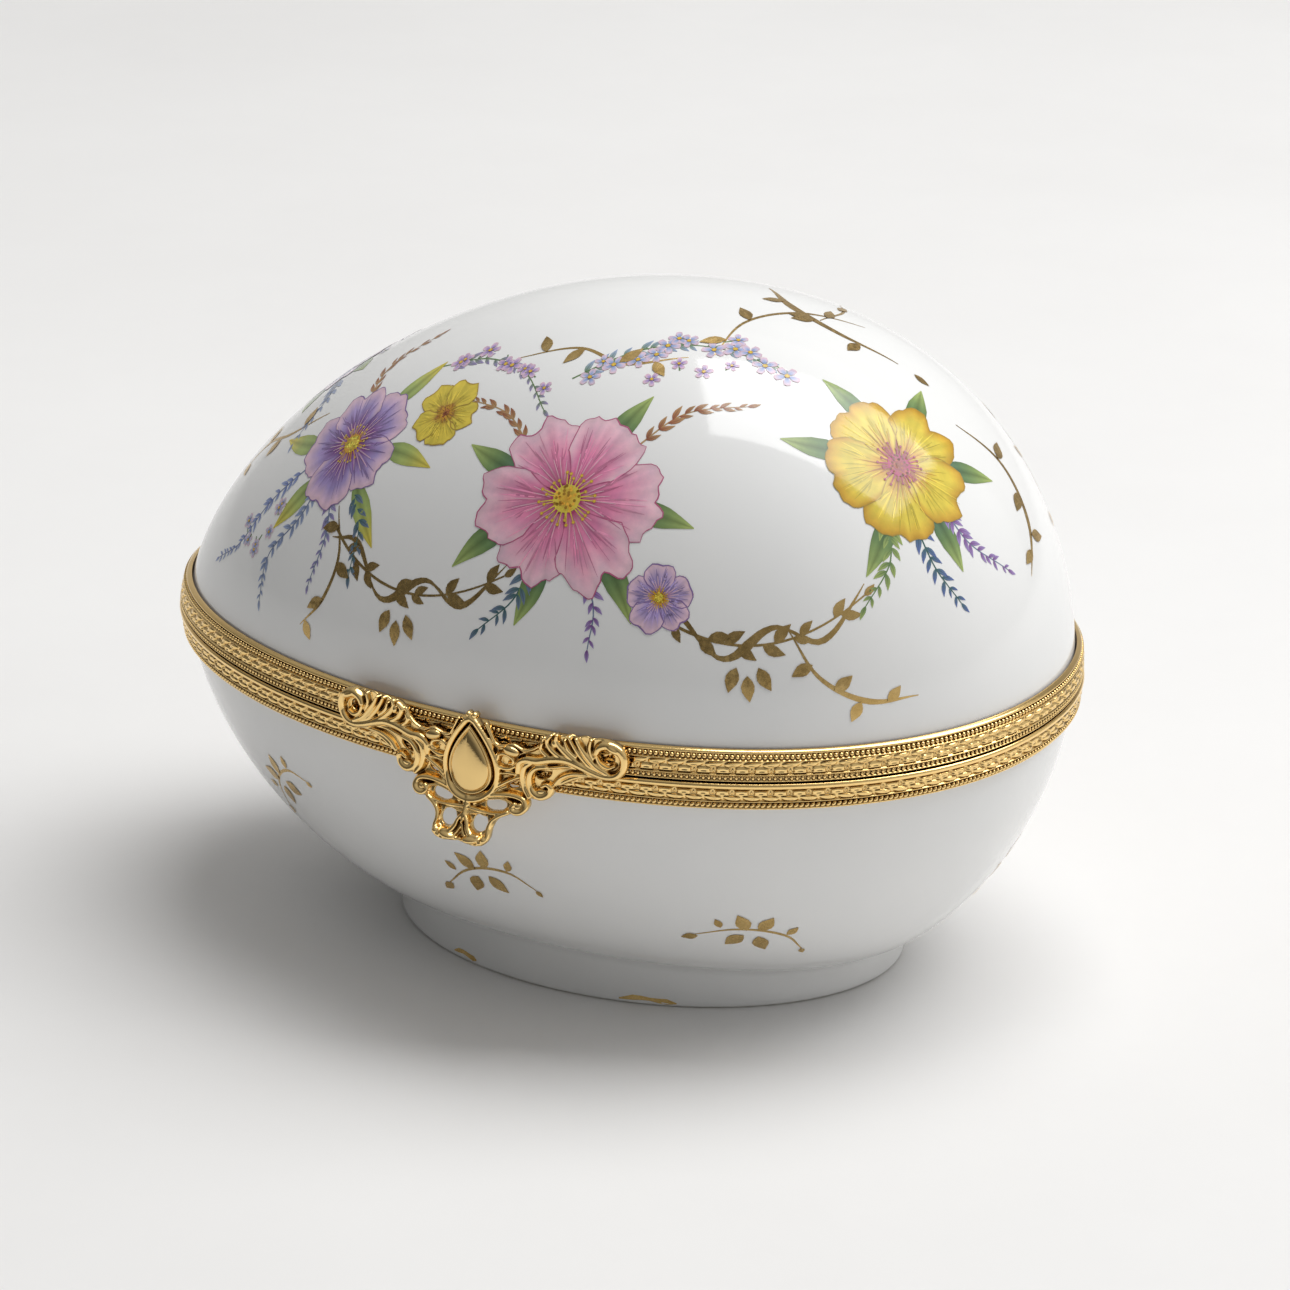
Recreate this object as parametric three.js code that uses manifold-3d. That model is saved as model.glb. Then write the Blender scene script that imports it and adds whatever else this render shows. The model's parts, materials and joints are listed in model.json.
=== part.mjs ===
// Egg-shaped porcelain box lying on its side on an oval foot ring, with a hinged lid dome,
// two gilt brass rim frames, a stopped hinge at the back and a pierced scroll clasp in front.
// Millimetres, +Z up. The egg's long axis is X with the blunt end at +X; the clasp faces -Y.

import * as THREE from "three";
import { mergeVertices } from "three/addons/utils/BufferGeometryUtils.js";
import Module from "manifold-3d";

const wasm = await Module();
wasm.setup();

// The egg's outline at the rims, and the place along it of the foot, hinge and clasp
const EGG_LENGTH = 145;
const EGG_WIDTH = 101.9;
const OUTLINE_POWER = 2.09;
const BLUNTNESS = 0.08;
const AXIS_X = 5.6;
const COLUMNS = 48;
const SKIN_ROWS = 11;
const SKIN_GRADING = 1.3;

// Base bowl and foot
const PARTING_Z = 47;
const BOWL_WALL = 4.6;
const FLOOR_Z = 8;
const BOWL_TURN = 1.8;
const BOWL_FULLNESS = 1.45;
const HOLLOW_FULLNESS = 4.2;
const FOOT_LENGTH = 83.8;
const FOOT_WIDTH = 62.4;
const FOOT_RING = 3.4;
const FOOT_RECESS = 4;
const FOOT_EDGE = 0.6;
const NECK_INSET = 0.9;
const CREASE_OUTSET = 0.4;
const CREASE_FILLET = 1.2;
const CREASE_END_Z = 5.2;
const CREASE_SIDE_Z = 8;

// Lid dome
const LID_RISE = 57.2;
const LID_WALL = 3.2;
const APEX_SHIFT = 12.9;
const DOME_SHIFT_POWER = 1.33;
const DOME_LENGTH_POWERS = [1.71, 2.01];
const DOME_WIDTH_POWERS = [2.05, 2.05];

// Rim frames and their bedding
const PARTING_GAP = 0.3;
const FIT = 0.25;
const FLANGE = 0.8;
const CEMENT = 0.5;
const FRAME_REACH = 1.45;
const LID_FRAME_HEIGHT = 4.9;
const BASE_FRAME_HEIGHT = 4.5;
const SKIRT_DEPTH = 1.7;
const SKIRT_WALL = 0.6;
const SKIRT_GAP = 0.4;
const BAND_INSET = 0.25;
const GROOVE_INSET = 0.5;
const GROOVE = 0.3;
const BEAD_ROW = 0.7;
const LADDER_ROW = 0.9;
const LIP = 0.45;
const LEDGE = 1.1;
const EDGE = 0.2;

// Hinge
const OPEN_ANGLE = 75;
const STOP_SLACK = 1;
const KNUCKLE_RADIUS = 1.8;
const KNUCKLE_LENGTH = 4.2;
const KNUCKLE_GAP = 0.2;
const KNUCKLES = 5;
const PIN_RADIUS = 0.8;
const PIN_CLEARANCE = 0.08;
const PIN_END = 0.5;
const BEARER_HEIGHT = 2.6;
const BEARER_FIT = 0.15;
const BEARER_WEB = 0.5;
const GROOVE_STEPS = 10;
const ROUND_STEPS = 12;

// Clasp, drawn flat as [sideways, up] from the parting line's middle and then bent to the frame.
// The drawing's unit sizes its outline. The pendant leans outwards from its top.
const CLASP_UNIT = 1;
const CLASP_STANDOFF = 0.4;
const LEAN = 0.6;
const LEAN_TOP = -4.9 * CLASP_UNIT;
const STEPS_A_SPAN = 1.3;
const STRAND_TOP = [[0.85, 0.6], [0, 1.15], [-0.85, 0.6]];
const ROUNDED_END = 0.65;
const SCROLL_PLATE = 0.5;
const OPENING_STEPS = 5;
const SHIELD_PLATE = 0.9;
const BOSS_TOP = 4.9 * CLASP_UNIT;
const BOSS_HEIGHT = 10.5 * CLASP_UNIT;
const BOSS_HALF_WIDTH = 3.5 * CLASP_UNIT;
const BOSS_RISE = 1.5;
const BOSS_BELLY = 0.6;
const BOSS_STEPS = 24;
const DOME_STEPS = 4;
const BOSS_FIT = 0.25;
const COLLAR_RADIUS = 0.55;
const BEAD_RADIUS = 0.55;
const BEAD_SPREAD = 0.45;
const BEAD_UP = 6.2 * CLASP_UNIT;

// Pierced plates: edge of the right half, and its openings as centre, radii and tilt in degrees
const ARM_PLATE = {
  steps: 50,
  edge: [[3, 3], [6.7, 2.6], [9.8, 2.5], [11.6, 4.6], [14, 5.1], [18.4, 5.3], [21.8, 5.2], [23.6, 3.2],
    [22.5, 0.1], [18.2, -0.5], [14.6, -2.2], [12.9, -3.6], [11.4, -4.7], [8.6, -4.9], [3, -5.2]],
  openings: [[20.8, 3, 1.2, 0.8, -25], [11.4, -1, 1.4, 0.8, 30], [6.7, -3.5, 0.9, 0.45, 20]],
};
const PENDANT_PLATE = {
  steps: 40,
  edge: [[4, -5.4], [8.4, -5.1], [9.4, -6], [8.4, -7.2], [6.4, -7.7], [4.8, -9], [5, -11.2], [3.6, -12],
    [1.4, -11.8]],
  openings: [[4.5, -6.7, 1.3, 0.6, 6], [2.4, -9.3, 0.9, 1.3, -12]],
};

// Ridges on the plates, drawn for the right half, and those across the pendant's middle
const ARM_RIDGES = {
  arm: {
    points: [[7.6, -0.6], [8.9, 1], [12.8, 1.7], [17, 1.3], [20.6, 0.1], [22.8, 0.9], [23.2, 3], [21.8, 4.6],
      [20.2, 4.7], [19.3, 3.6]],
    radii: [0.75, 0.7],
  },
  outerFrond: { points: [[19.8, 0.9], [18.1, 2.8], [17.1, 5.2]], radii: [0.85, 0.65] },
  middleFrond: { points: [[17, 1.5], [14.9, 3.1], [14.3, 5.1]], radii: [0.85, 0.65] },
  innerFrond: { points: [[14, 2], [12.3, 3.1], [12.1, 4.7]], radii: [0.75, 0.6] },
  underLeaf: { points: [[20.6, -0.1], [16.4, -0.4], [13.4, -2.1]], radii: [0.4, 0.65] },
  cScroll: {
    points: [[10.6, 0.6], [8.9, -0.6], [8.9, -2.9], [10.6, -4.3], [12.4, -3.7], [12, -2.5]],
    radii: [0.8, 0.55],
  },
  shoulder: { points: [[2.2, 4.6], [4.2, 2.8], [6.6, 1.8]], radii: [0.5, 0.8] },
  swag: { points: [[7.6, -2], [4.6, -3.8], [1.4, -5.6]], radii: [0.45, 0.5] },
};
const PENDANT_RIDGES = {
  scroll: {
    points: [[1, -6.6], [3.8, -5.6], [7.2, -5.4], [9, -6], [8.3, -7.1], [7.2, -6.6]],
    radii: [0.5, 0.5],
  },
  rail: { points: [[0.7, -7.7], [3.6, -7.5], [6.6, -7.2]], radii: [0.45, 0.4] },
  limb: {
    points: [[6.4, -7.3], [4.5, -8.6], [4.3, -10], [4.5, -11.4], [3.2, -11.7]],
    radii: [0.45, 0.5],
  },
};
const PENDANT_MIDDLE_RIDGES = [
  { points: [[0, -6.4], [0, -9], [0, -11.6]], radii: [0.65, 0.5] },
  { points: [[-3.3, -10.9], [-1.4, -11.4], [1.4, -11.4], [3.3, -10.9]], radii: [0.75, 0.75] },
];
const RIVET_AT = [6.5 * CLASP_UNIT, 1.9 * CLASP_UNIT];
const RIVET_HEAD = 1.05;
const RIVET_DOME = 0.7;
const RIVET_SHANK = 0.5;
const RIVET_PAD = 1.4;
const STUD_DOWN = 2.4 * CLASP_UNIT;
const STUD_HEAD = 1.3;
const CATCH_DEPTH = 0.2;
const STUD_SHANK = 0.6;
const SHANK_CLEARANCE = 0.1;
const SHANK_END_GAP = 0.15;

const DEGREE = Math.PI / 180;
const FULL_TURN = 2 * Math.PI;
const TEARDROP_BELLY = 4 / (3 * Math.sqrt(3));
const HALF_GAP = PARTING_GAP / 2;
const RIM_LIFT = HALF_GAP + FLANGE + FIT + CEMENT + FIT;

const porcelain = new THREE.MeshStandardMaterial({ color: 0xf3f4f4, roughness: 0.12 });
const gilt = new THREE.MeshStandardMaterial({ color: 0xdcae58, roughness: 0.25, metalness: 1 });
const steel = new THREE.MeshStandardMaterial({ color: 0xb08a48, roughness: 0.35, metalness: 1 });
const plaster = new THREE.MeshStandardMaterial({ color: 0xdedacf, roughness: 0.9 });

// Point on the egg's outline at parameter u, moved outwards along its normal by offset
function outline(u, offset = 0) {
  const at = (v) => {
    const c = Math.cos(v);
    const bulge = (1 - Math.abs(c) ** OUTLINE_POWER) ** (1 / OUTLINE_POWER);
    const y = (EGG_WIDTH / 2) * Math.sign(Math.sin(v)) * bulge * (1 + BLUNTNESS * c);
    return new THREE.Vector2((EGG_LENGTH / 2) * c, y);
  };
  const step = 0.01;
  const along = at(u + step).sub(at(u - step)).normalize();
  return at(u).add(new THREE.Vector2(along.y, -along.x).multiplyScalar(offset));
}

function aroundColumns(pointAt) {
  return Array.from({ length: COLUMNS }, (_, j) => pointAt((FULL_TURN * j) / COLUMNS));
}

function outlineRow(offset, z) {
  return aroundColumns((u) => {
    const p = outline(u, offset);
    return new THREE.Vector3(p.x, p.y, z);
  });
}

// Skin through rows of points, closed by a point at each end or, with no ends, into a ring
function loft(rows, start, end) {
  const width = rows[0].length;
  const points = rows.flat();
  const index = [];
  const bands = start ? rows.length - 1 : rows.length;
  for (let i = 0; i < bands; i += 1) {
    for (let j = 0; j < width; j += 1) {
      const a = i * width + j;
      const b = i * width + ((j + 1) % width);
      const c = ((i + 1) % rows.length) * width + ((j + 1) % width);
      const d = ((i + 1) % rows.length) * width + j;
      index.push(a, b, c, a, c, d);
    }
  }
  if (start) {
    const last = (rows.length - 1) * width;
    points.push(start, end);
    for (let j = 0; j < width; j += 1) {
      const next = (j + 1) % width;
      index.push(points.length - 2, next, j, points.length - 1, last + j, last + next);
    }
  }
  const geometry = new THREE.BufferGeometry().setFromPoints(points);
  geometry.setIndex(index);
  return geometry;
}

function solid(geometry) {
  const bare = geometry.clone();
  bare.deleteAttribute("normal");
  bare.deleteAttribute("uv");
  const merged = mergeVertices(bare, 1e-4);
  return new wasm.Manifold(new wasm.Mesh({
    numProp: 3,
    vertProperties: new Float32Array(merged.attributes.position.array),
    triVerts: new Uint32Array(merged.index.array),
  }));
}

function geometryOf(body) {
  const mesh = body.getMesh();
  const geometry = new THREE.BufferGeometry();
  geometry.setAttribute("position", new THREE.BufferAttribute(mesh.vertProperties, 3));
  geometry.setIndex(new THREE.BufferAttribute(mesh.triVerts, 1));
  return geometry;
}

function named(name, geometry, material) {
  geometry.computeVertexNormals();
  const mesh = new THREE.Mesh(geometry, material);
  mesh.name = name;
  return mesh;
}

const footPoint = (u, outset, z) => new THREE.Vector3(
  AXIS_X + (FOOT_LENGTH / 2 + outset) * Math.cos(u), (FOOT_WIDTH / 2 + outset) * Math.sin(u), z);

// The bowl meets the foot higher at its long sides than at its two ends
const creaseZ = (u) => THREE.MathUtils.lerp(CREASE_END_Z, CREASE_SIDE_Z, Math.sin(u) ** 2);

// Outer skin of the bowl from the crease, t = 0, to the parting plane, t = 1
function bowlPoint(u, t, outset = 0) {
  const spread = (1 - (1 - t) ** BOWL_TURN) ** (1 / BOWL_FULLNESS);
  const crease = footPoint(u, CREASE_OUTSET, creaseZ(u));
  const rim = outline(u, outset);
  return new THREE.Vector3(
    THREE.MathUtils.lerp(crease.x, rim.x, spread),
    THREE.MathUtils.lerp(crease.y, rim.y, spread),
    THREE.MathUtils.lerp(crease.z, PARTING_Z, t));
}

// Inside of the bowl from its floor, t = 0, to the parting plane, t = 1
function hollowPoint(u, t) {
  const spread = (1 - (1 - t) ** BOWL_TURN) ** (1 / HOLLOW_FULLNESS);
  const rim = outline(u, -BOWL_WALL);
  return new THREE.Vector3(THREE.MathUtils.lerp(AXIS_X, rim.x, spread), rim.y * spread,
    THREE.MathUtils.lerp(FLOOR_Z, PARTING_Z, t));
}

// Point of the dome at a share of its rise, on the outer skin or one moved outwards by outset
function domePoint(u, share, outset = 0) {
  const across = ([p, q]) => (1 - share ** p) ** (1 / q);
  const rim = outline(u, outset);
  return new THREE.Vector3(
    APEX_SHIFT * share ** DOME_SHIFT_POWER + rim.x * across(DOME_LENGTH_POWERS),
    rim.y * across(DOME_WIDTH_POWERS),
    PARTING_Z + share * (LID_RISE + outset));
}

// Ring that follows the porcelain at a rise from the parting plane: side 1 is up the dome, side -1
// down the bowl, and outset is how far it stands off the outer skin
function mountRow(side, [outset, rise]) {
  return aroundColumns((u) => (side > 0
    ? domePoint(u, rise / (LID_RISE + outset), outset)
    : bowlPoint(u, 1 - rise / (PARTING_Z - creaseZ(u)), outset)));
}

const evenly = (from, to, count) => Array.from({ length: count }, (_, i) => THREE.MathUtils.lerp(
  from, to, count > 1 ? i / (count - 1) : 0));

function baseShell() {
  const footRow = (outset, heightAt) => aroundColumns((u) => footPoint(u, outset, heightAt(u)));
  const level = (z) => () => z;
  const foot = [
    footRow(-FOOT_RING - FOOT_EDGE, level(FOOT_RECESS)),
    footRow(-FOOT_RING, level(FOOT_RECESS - FOOT_EDGE)),
    footRow(-FOOT_RING, level(FOOT_EDGE / 2)),
    footRow(-FOOT_RING + FOOT_EDGE / 2, level(0)),
    footRow(-FOOT_EDGE, level(0)),
    footRow(0, level(FOOT_EDGE)),
    footRow(-NECK_INSET, (u) => creaseZ(u) - CREASE_FILLET),
    footRow(-NECK_INSET / 2, (u) => creaseZ(u) - CREASE_FILLET / 3),
  ];
  const climb = evenly(0, Math.PI / 2, SKIN_ROWS).map((a) => (1 - Math.cos(a)) ** SKIN_GRADING);
  const topAt = (z0) => 1 - RIM_LIFT / (PARTING_Z - z0);
  const outside = climb.map((t) => aroundColumns((u) => bowlPoint(u, t * topAt(creaseZ(u)))));
  const inside = climb.slice(1).map((t) => aroundColumns((u) => hollowPoint(u, t * topAt(FLOOR_Z))));
  return loft([...foot, ...outside, ...inside.reverse()],
    new THREE.Vector3(AXIS_X, 0, FOOT_RECESS), new THREE.Vector3(AXIS_X, 0, FLOOR_Z));
}

function lidShell() {
  const skin = (outset) => {
    const rim = Math.asin(RIM_LIFT / (LID_RISE + outset));
    const shares = evenly(rim, Math.PI / 2, SKIN_ROWS).slice(0, -1).map(Math.sin);
    return shares.map((share) => aroundColumns((u) => domePoint(u, share, outset)));
  };
  const apex = (outset) => new THREE.Vector3(APEX_SHIFT, 0, PARTING_Z + LID_RISE + outset);
  return loft([...skin(-LID_WALL).reverse(), ...skin(0)], apex(-LID_WALL), apex(0));
}

// Section of a frame as [outset, distance from the parting plane], starting at the parting edge:
// moulded face, lip, socket for the rim, flange over the rim and skirt inside the wall
function frameSection(wall, face, lipRise) {
  const skirt = -wall - SKIRT_GAP;
  return [
    ...face,
    [FIT, lipRise],
    [FIT, HALF_GAP + FLANGE],
    [skirt, HALF_GAP + FLANGE],
    [skirt, HALF_GAP + FLANGE + SKIRT_DEPTH],
    [skirt - SKIRT_WALL, HALF_GAP + FLANGE + SKIRT_DEPTH],
    [skirt - SKIRT_WALL, HALF_GAP],
  ];
}

function lidFrameSection() {
  const band = FRAME_REACH - BAND_INSET;
  const beadTop = LID_FRAME_HEIGHT - LIP;
  const bandTop = beadTop - BEAD_ROW - GROOVE;
  return frameSection(LID_WALL, [
    [band, HALF_GAP],
    [FRAME_REACH, HALF_GAP + EDGE],
    [FRAME_REACH, HALF_GAP + LADDER_ROW],
    [band, HALF_GAP + LADDER_ROW + EDGE],
    [band, bandTop],
    [FRAME_REACH - GROOVE_INSET, bandTop + EDGE / 2],
    [FRAME_REACH - GROOVE_INSET, bandTop + GROOVE],
    [FRAME_REACH - EDGE / 2, beadTop - BEAD_ROW + EDGE / 2],
    [FRAME_REACH - EDGE / 2, beadTop],
    [FIT + LIP, LID_FRAME_HEIGHT],
  ], LID_FRAME_HEIGHT);
}

function baseFrameSection() {
  const band = FRAME_REACH - BAND_INSET;
  const bandTop = BASE_FRAME_HEIGHT - BEAD_ROW - GROOVE;
  return frameSection(BOWL_WALL, [
    [band, HALF_GAP],
    [FRAME_REACH, HALF_GAP + EDGE],
    [FRAME_REACH, LEDGE - EDGE],
    [band, LEDGE],
    [band, bandTop],
    [FRAME_REACH - GROOVE_INSET, bandTop + EDGE / 2],
    [FRAME_REACH - GROOVE_INSET, bandTop + GROOVE],
    [FRAME_REACH - EDGE / 2, bandTop + GROOVE + EDGE / 2],
    [FRAME_REACH - EDGE / 2, BASE_FRAME_HEIGHT - EDGE],
    [FRAME_REACH - GROOVE_INSET, BASE_FRAME_HEIGHT],
  ], BASE_FRAME_HEIGHT);
}

// Ring with the given section all round the egg, above the parting plane or, with side -1, below it
function rimRing(section, side) {
  const ordered = side > 0 ? section : [...section].reverse();
  return loft(ordered.map((place) => mountRow(side, place)));
}

function cementRing(wall, side) {
  const near = HALF_GAP + FLANGE + FIT;
  const far = near + CEMENT;
  return rimRing([[-FIT, near], [-FIT, far], [FIT - wall, far], [FIT - wall, near]], side);
}

// Half width of the egg at x
function halfWidth(x) {
  const c = (2 * x) / EGG_LENGTH;
  const bulge = (1 - Math.abs(c) ** OUTLINE_POWER) ** (1 / OUTLINE_POWER);
  return (EGG_WIDTH / 2) * bulge * (1 + BLUNTNESS * c);
}

const HINGE_LENGTH = KNUCKLES * KNUCKLE_LENGTH + (KNUCKLES - 1) * KNUCKLE_GAP;
const GROOVE_RADIUS = KNUCKLE_RADIUS + BEARER_FIT;
const HINGE_Y = halfWidth(AXIS_X) + FRAME_REACH + FIT + BEARER_WEB + GROOVE_RADIUS;

// Solid filling the egg's outline, used to shape what lies against the frames
function outlineBlock(outset, bottom, top) {
  return solid(loft([outlineRow(outset, bottom), outlineRow(outset, top)],
    new THREE.Vector3(0, 0, bottom), new THREE.Vector3(0, 0, top)));
}

// Bearer: seats on its frame's back, cradles the knuckles in a groove and ends in a radial stop face
function hingeBearer(side) {
  const stop = (OPEN_ANGLE / 2 + STOP_SLACK) * DEGREE;
  const level = Math.asin(HALF_GAP / GROOVE_RADIUS);
  const reachIn = GROOVE_RADIUS + BEARER_WEB + FIT + FRAME_REACH;
  const arc = evenly(Math.PI - level, stop, GROOVE_STEPS);
  const section = [
    [-reachIn, HALF_GAP],
    ...arc.map((a) => [GROOVE_RADIUS * Math.cos(a), GROOVE_RADIUS * Math.sin(a)]),
    [BEARER_HEIGHT / Math.tan(stop), BEARER_HEIGHT],
    [-reachIn, BEARER_HEIGHT],
  ];
  const shape = new THREE.Shape(section.map(([y, z]) => new THREE.Vector2(y, side * z)));
  const bar = new THREE.ExtrudeGeometry(shape, { depth: HINGE_LENGTH, bevelEnabled: false });
  const [alongX, alongY, alongZ] = [0, 1, 2].map((i) => new THREE.Vector3().setComponent(i, 1));
  bar.applyMatrix4(new THREE.Matrix4().makeBasis(alongY, alongZ, alongX));
  bar.translate(AXIS_X - HINGE_LENGTH / 2, HINGE_Y, PARTING_Z);
  const room = 2 * BEARER_HEIGHT;
  const frames = outlineBlock(FRAME_REACH + FIT, PARTING_Z - room, PARTING_Z + room);
  return geometryOf(solid(bar).subtract(frames));
}

function turned(profile, steps = ROUND_STEPS) {
  return new THREE.LatheGeometry(profile.map(([r, y]) => new THREE.Vector2(r, y)), steps);
}

function knuckle() {
  const bore = PIN_RADIUS + PIN_CLEARANCE;
  const half = KNUCKLE_LENGTH / 2;
  const rim = KNUCKLE_RADIUS - EDGE;
  const tube = turned([[bore, -half], [rim, -half], [KNUCKLE_RADIUS, EDGE - half],
    [KNUCKLE_RADIUS, half - EDGE], [rim, half], [bore, half], [bore, -half]]);
  return tube.rotateZ(-Math.PI / 2);
}

function hingePin() {
  const half = HINGE_LENGTH / 2;
  const end = evenly(0, Math.PI / 2, DOME_STEPS).map((a) => [
    PIN_RADIUS * Math.sin(a), half + PIN_END * Math.cos(a)]);
  const pin = turned([...end.map(([r, x]) => [r, -x]), ...end.reverse()]);
  return pin.rotateZ(-Math.PI / 2);
}

const drawn = ([s, v]) => new THREE.Vector3(s * CLASP_UNIT, v * CLASP_UNIT, 0);

// Tips a piece of the flat drawing outwards below its top
function leaned(body) {
  const geometry = geometryOf(body);
  const position = geometry.attributes.position;
  for (let i = 0; i < position.count; i += 1) {
    position.setZ(i, position.getZ(i) + LEAN * Math.max(0, LEAN_TOP - position.getY(i)));
  }
  return solid(geometry);
}

// Symmetric plate from its right half, with a smooth edge and oval openings
function piercedPlate({ steps, edge, openings }) {
  const left = edge.map(([s, v]) => [-s, v]).reverse();
  const route = new THREE.CatmullRomCurve3([...edge, ...left].map(drawn), true);
  const shape = new THREE.Shape(route.getSpacedPoints(steps).slice(1));
  for (const [s, v, across, up, tilt] of openings) {
    for (const side of [1, -1]) {
      const centre = drawn([side * s, v]);
      const [wide, high] = [across, up].map((r) => r * CLASP_UNIT);
      shape.holes.push(new THREE.Path().absellipse(
        centre.x, centre.y, wide, high, 0, FULL_TURN, false, side * tilt * DEGREE));
    }
  }
  return solid(new THREE.ExtrudeGeometry(shape, {
    depth: SCROLL_PLATE, bevelEnabled: false, curveSegments: OPENING_STEPS }));
}

// Tapering ridge along a curve of the drawing, with rounded ends, that stands on the plate
function strand({ points, radii }) {
  const route = points.map((place) => drawn(place).setZ(SCROLL_PLATE));
  const curve = new THREE.CatmullRomCurve3(route, false, "centripetal");
  const steps = Math.round(STEPS_A_SPAN * (points.length - 1));
  const rows = evenly(0, 1, steps + 1).map((t, i) => {
    const shoulder = i === 0 || i === steps ? ROUNDED_END : 1;
    const radius = THREE.MathUtils.lerp(radii[0], radii[1], t) * shoulder;
    return strandRing(curve.getPoint(t), curve.getTangent(t), radius, SCROLL_PLATE / 2);
  });
  const tip = (t, way) => {
    const end = curve.getPoint(t).addScaledVector(curve.getTangent(t), way * radii[t] * ROUNDED_END);
    return end.setZ(end.z - SCROLL_PLATE / 2);
  };
  return solid(loft(rows, tip(0, -1), tip(1, 1)));
}

// Pierced plate with its ridges, of which those of the right half are repeated on the left
function relief(plate, middleRidges, rightRidges) {
  const ridges = [...middleRidges, ...rightRidges, ...rightRidges.map(mirrored)];
  return ridges.reduce((body, ridge) => body.add(strand(ridge)), piercedPlate(plate));
}

// Section of a ridge: a rounded crest over two feet, which are sunk below its centre
function strandRing(centre, along, radius, sink) {
  const way = along.clone().setZ(0).normalize();
  const top = STRAND_TOP.map(([across, up]) => [across * radius, up * radius]);
  return [[radius, -sink], ...top, [-radius, -sink]].map(([across, up]) => new THREE.Vector3(
    centre.x - way.y * across, centre.y + way.x * across, centre.z + up));
}

// Teardrop with its point up, grown outwards by an even margin
function teardrop(grow) {
  const drop = Array.from({ length: BOSS_STEPS }, (_, i) => {
    const a = (-FULL_TURN * i) / BOSS_STEPS;
    const side = (Math.sin(a) * Math.abs(Math.sin(a / 2))) / TEARDROP_BELLY;
    return new THREE.Vector3(BOSS_HALF_WIDTH * side, BOSS_TOP - (BOSS_HEIGHT * (1 - Math.cos(a))) / 2, 0);
  });
  return drop.map((p, i) => {
    const along = teardropTangent(drop, i);
    return new THREE.Vector3(p.x + grow * along.y, p.y - grow * along.x, 0);
  });
}

function teardropTangent(drop, i) {
  const before = drop[(i + BOSS_STEPS - 1) % BOSS_STEPS];
  const after = drop[(i + 1) % BOSS_STEPS];
  return after.clone().sub(before).normalize();
}

function shieldPlate() {
  const edge = teardrop(BOSS_FIT + COLLAR_RADIUS);
  const shape = new THREE.Shape(edge.map(({ x, y }) => new THREE.Vector2(x, y)));
  return solid(new THREE.ExtrudeGeometry(shape, { depth: SHIELD_PLATE, bevelEnabled: false }));
}

function collar() {
  const path = teardrop(BOSS_FIT + COLLAR_RADIUS);
  const rows = path.map((p, i) => (
    strandRing(p.setZ(SHIELD_PLATE), teardropTangent(path, i), COLLAR_RADIUS, SHIELD_PLATE)));
  return solid(loft(rows));
}

function mirrored({ points, radii }) {
  return { points: points.map(([s, v]) => [-s, v]), radii };
}

function post(radius, from, to, [s, v]) {
  const body = new THREE.CylinderGeometry(radius, radius, to - from, ROUND_STEPS);
  body.rotateX(Math.PI / 2);
  body.translate(s, v, (from + to) / 2);
  return solid(body);
}

// Domed head from a seat depth on a shank, pointing out of the flat clasp drawing
function domedPin(head, seat, crown, shank, shankEnd, [s, v]) {
  const dome = evenly(0, Math.PI / 2, DOME_STEPS).slice(0, -1).map((a) => [
    head * Math.cos(a), seat + (crown - seat) * Math.sin(a)]);
  const pin = turned([[0, shankEnd], [shank, shankEnd], [shank, seat], ...dome, [0, crown]]);
  pin.rotateX(Math.PI / 2);
  return pin.translate(s, v, 0);
}

// Depths in the clasp drawing, measured outwards from the clasp's flat back
const BACK_TO_WALL = FRAME_REACH + CLASP_STANDOFF;
const BAND_FACE = -CLASP_STANDOFF - BAND_INSET;
const SHANK_END = FIT + SHANK_END_GAP - BACK_TO_WALL;
const RIVET_PLACES = { left: [-RIVET_AT[0], RIVET_AT[1]], right: RIVET_AT };
const STUD_AT = [0, -STUD_DOWN];

function claspOrnament() {
  const arms = relief(ARM_PLATE, [], Object.values(ARM_RIDGES));
  const pendant = relief(PENDANT_PLATE, PENDANT_MIDDLE_RIDGES, Object.values(PENDANT_RIDGES));
  const rivets = Object.values(RIVET_PLACES);
  let body = shieldPlate().add(collar()).add(arms).add(leaned(pendant));
  for (const way of [-1, 1]) {
    const bead = new THREE.SphereGeometry(BEAD_RADIUS, 6, 5);
    body = body.add(solid(bead.translate(way * BEAD_SPREAD, BEAD_UP, BEAD_RADIUS)));
  }
  for (const place of rivets) {
    body = body.add(post(RIVET_PAD, BAND_FACE + FIT, SHIELD_PLATE, place));
  }
  for (const place of rivets) {
    body = body.subtract(post(RIVET_SHANK + SHANK_CLEARANCE, BAND_FACE, 2 * SHIELD_PLATE, place));
    body = body.subtract(post(RIVET_HEAD + FIT, SHIELD_PLATE, 2 * SHIELD_PLATE, place));
  }
  const dimple = domedPin(
    STUD_HEAD + FIT, BAND_FACE, CATCH_DEPTH + FIT, STUD_SHANK, BAND_FACE - FIT, STUD_AT);
  return geometryOf(body.subtract(solid(dimple)));
}

function claspTeardrop() {
  const middle = new THREE.Vector3(0, BOSS_TOP - BOSS_HEIGHT * BOSS_BELLY, SHIELD_PLATE + BOSS_FIT);
  const level = (scale, rise) => teardrop(0).map((p) => new THREE.Vector3(
    p.x * scale, THREE.MathUtils.lerp(middle.y, p.y, scale), middle.z + rise));
  const cushion = evenly(0, Math.PI / 2, DOME_STEPS + 2).slice(0, -1).map((a) => (
    level(Math.cos(a), THREE.MathUtils.lerp(EDGE, BOSS_RISE, Math.sin(a)))));
  return loft([level(1, 0), ...cushion], middle, middle.clone().setZ(middle.z + BOSS_RISE));
}

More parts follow.
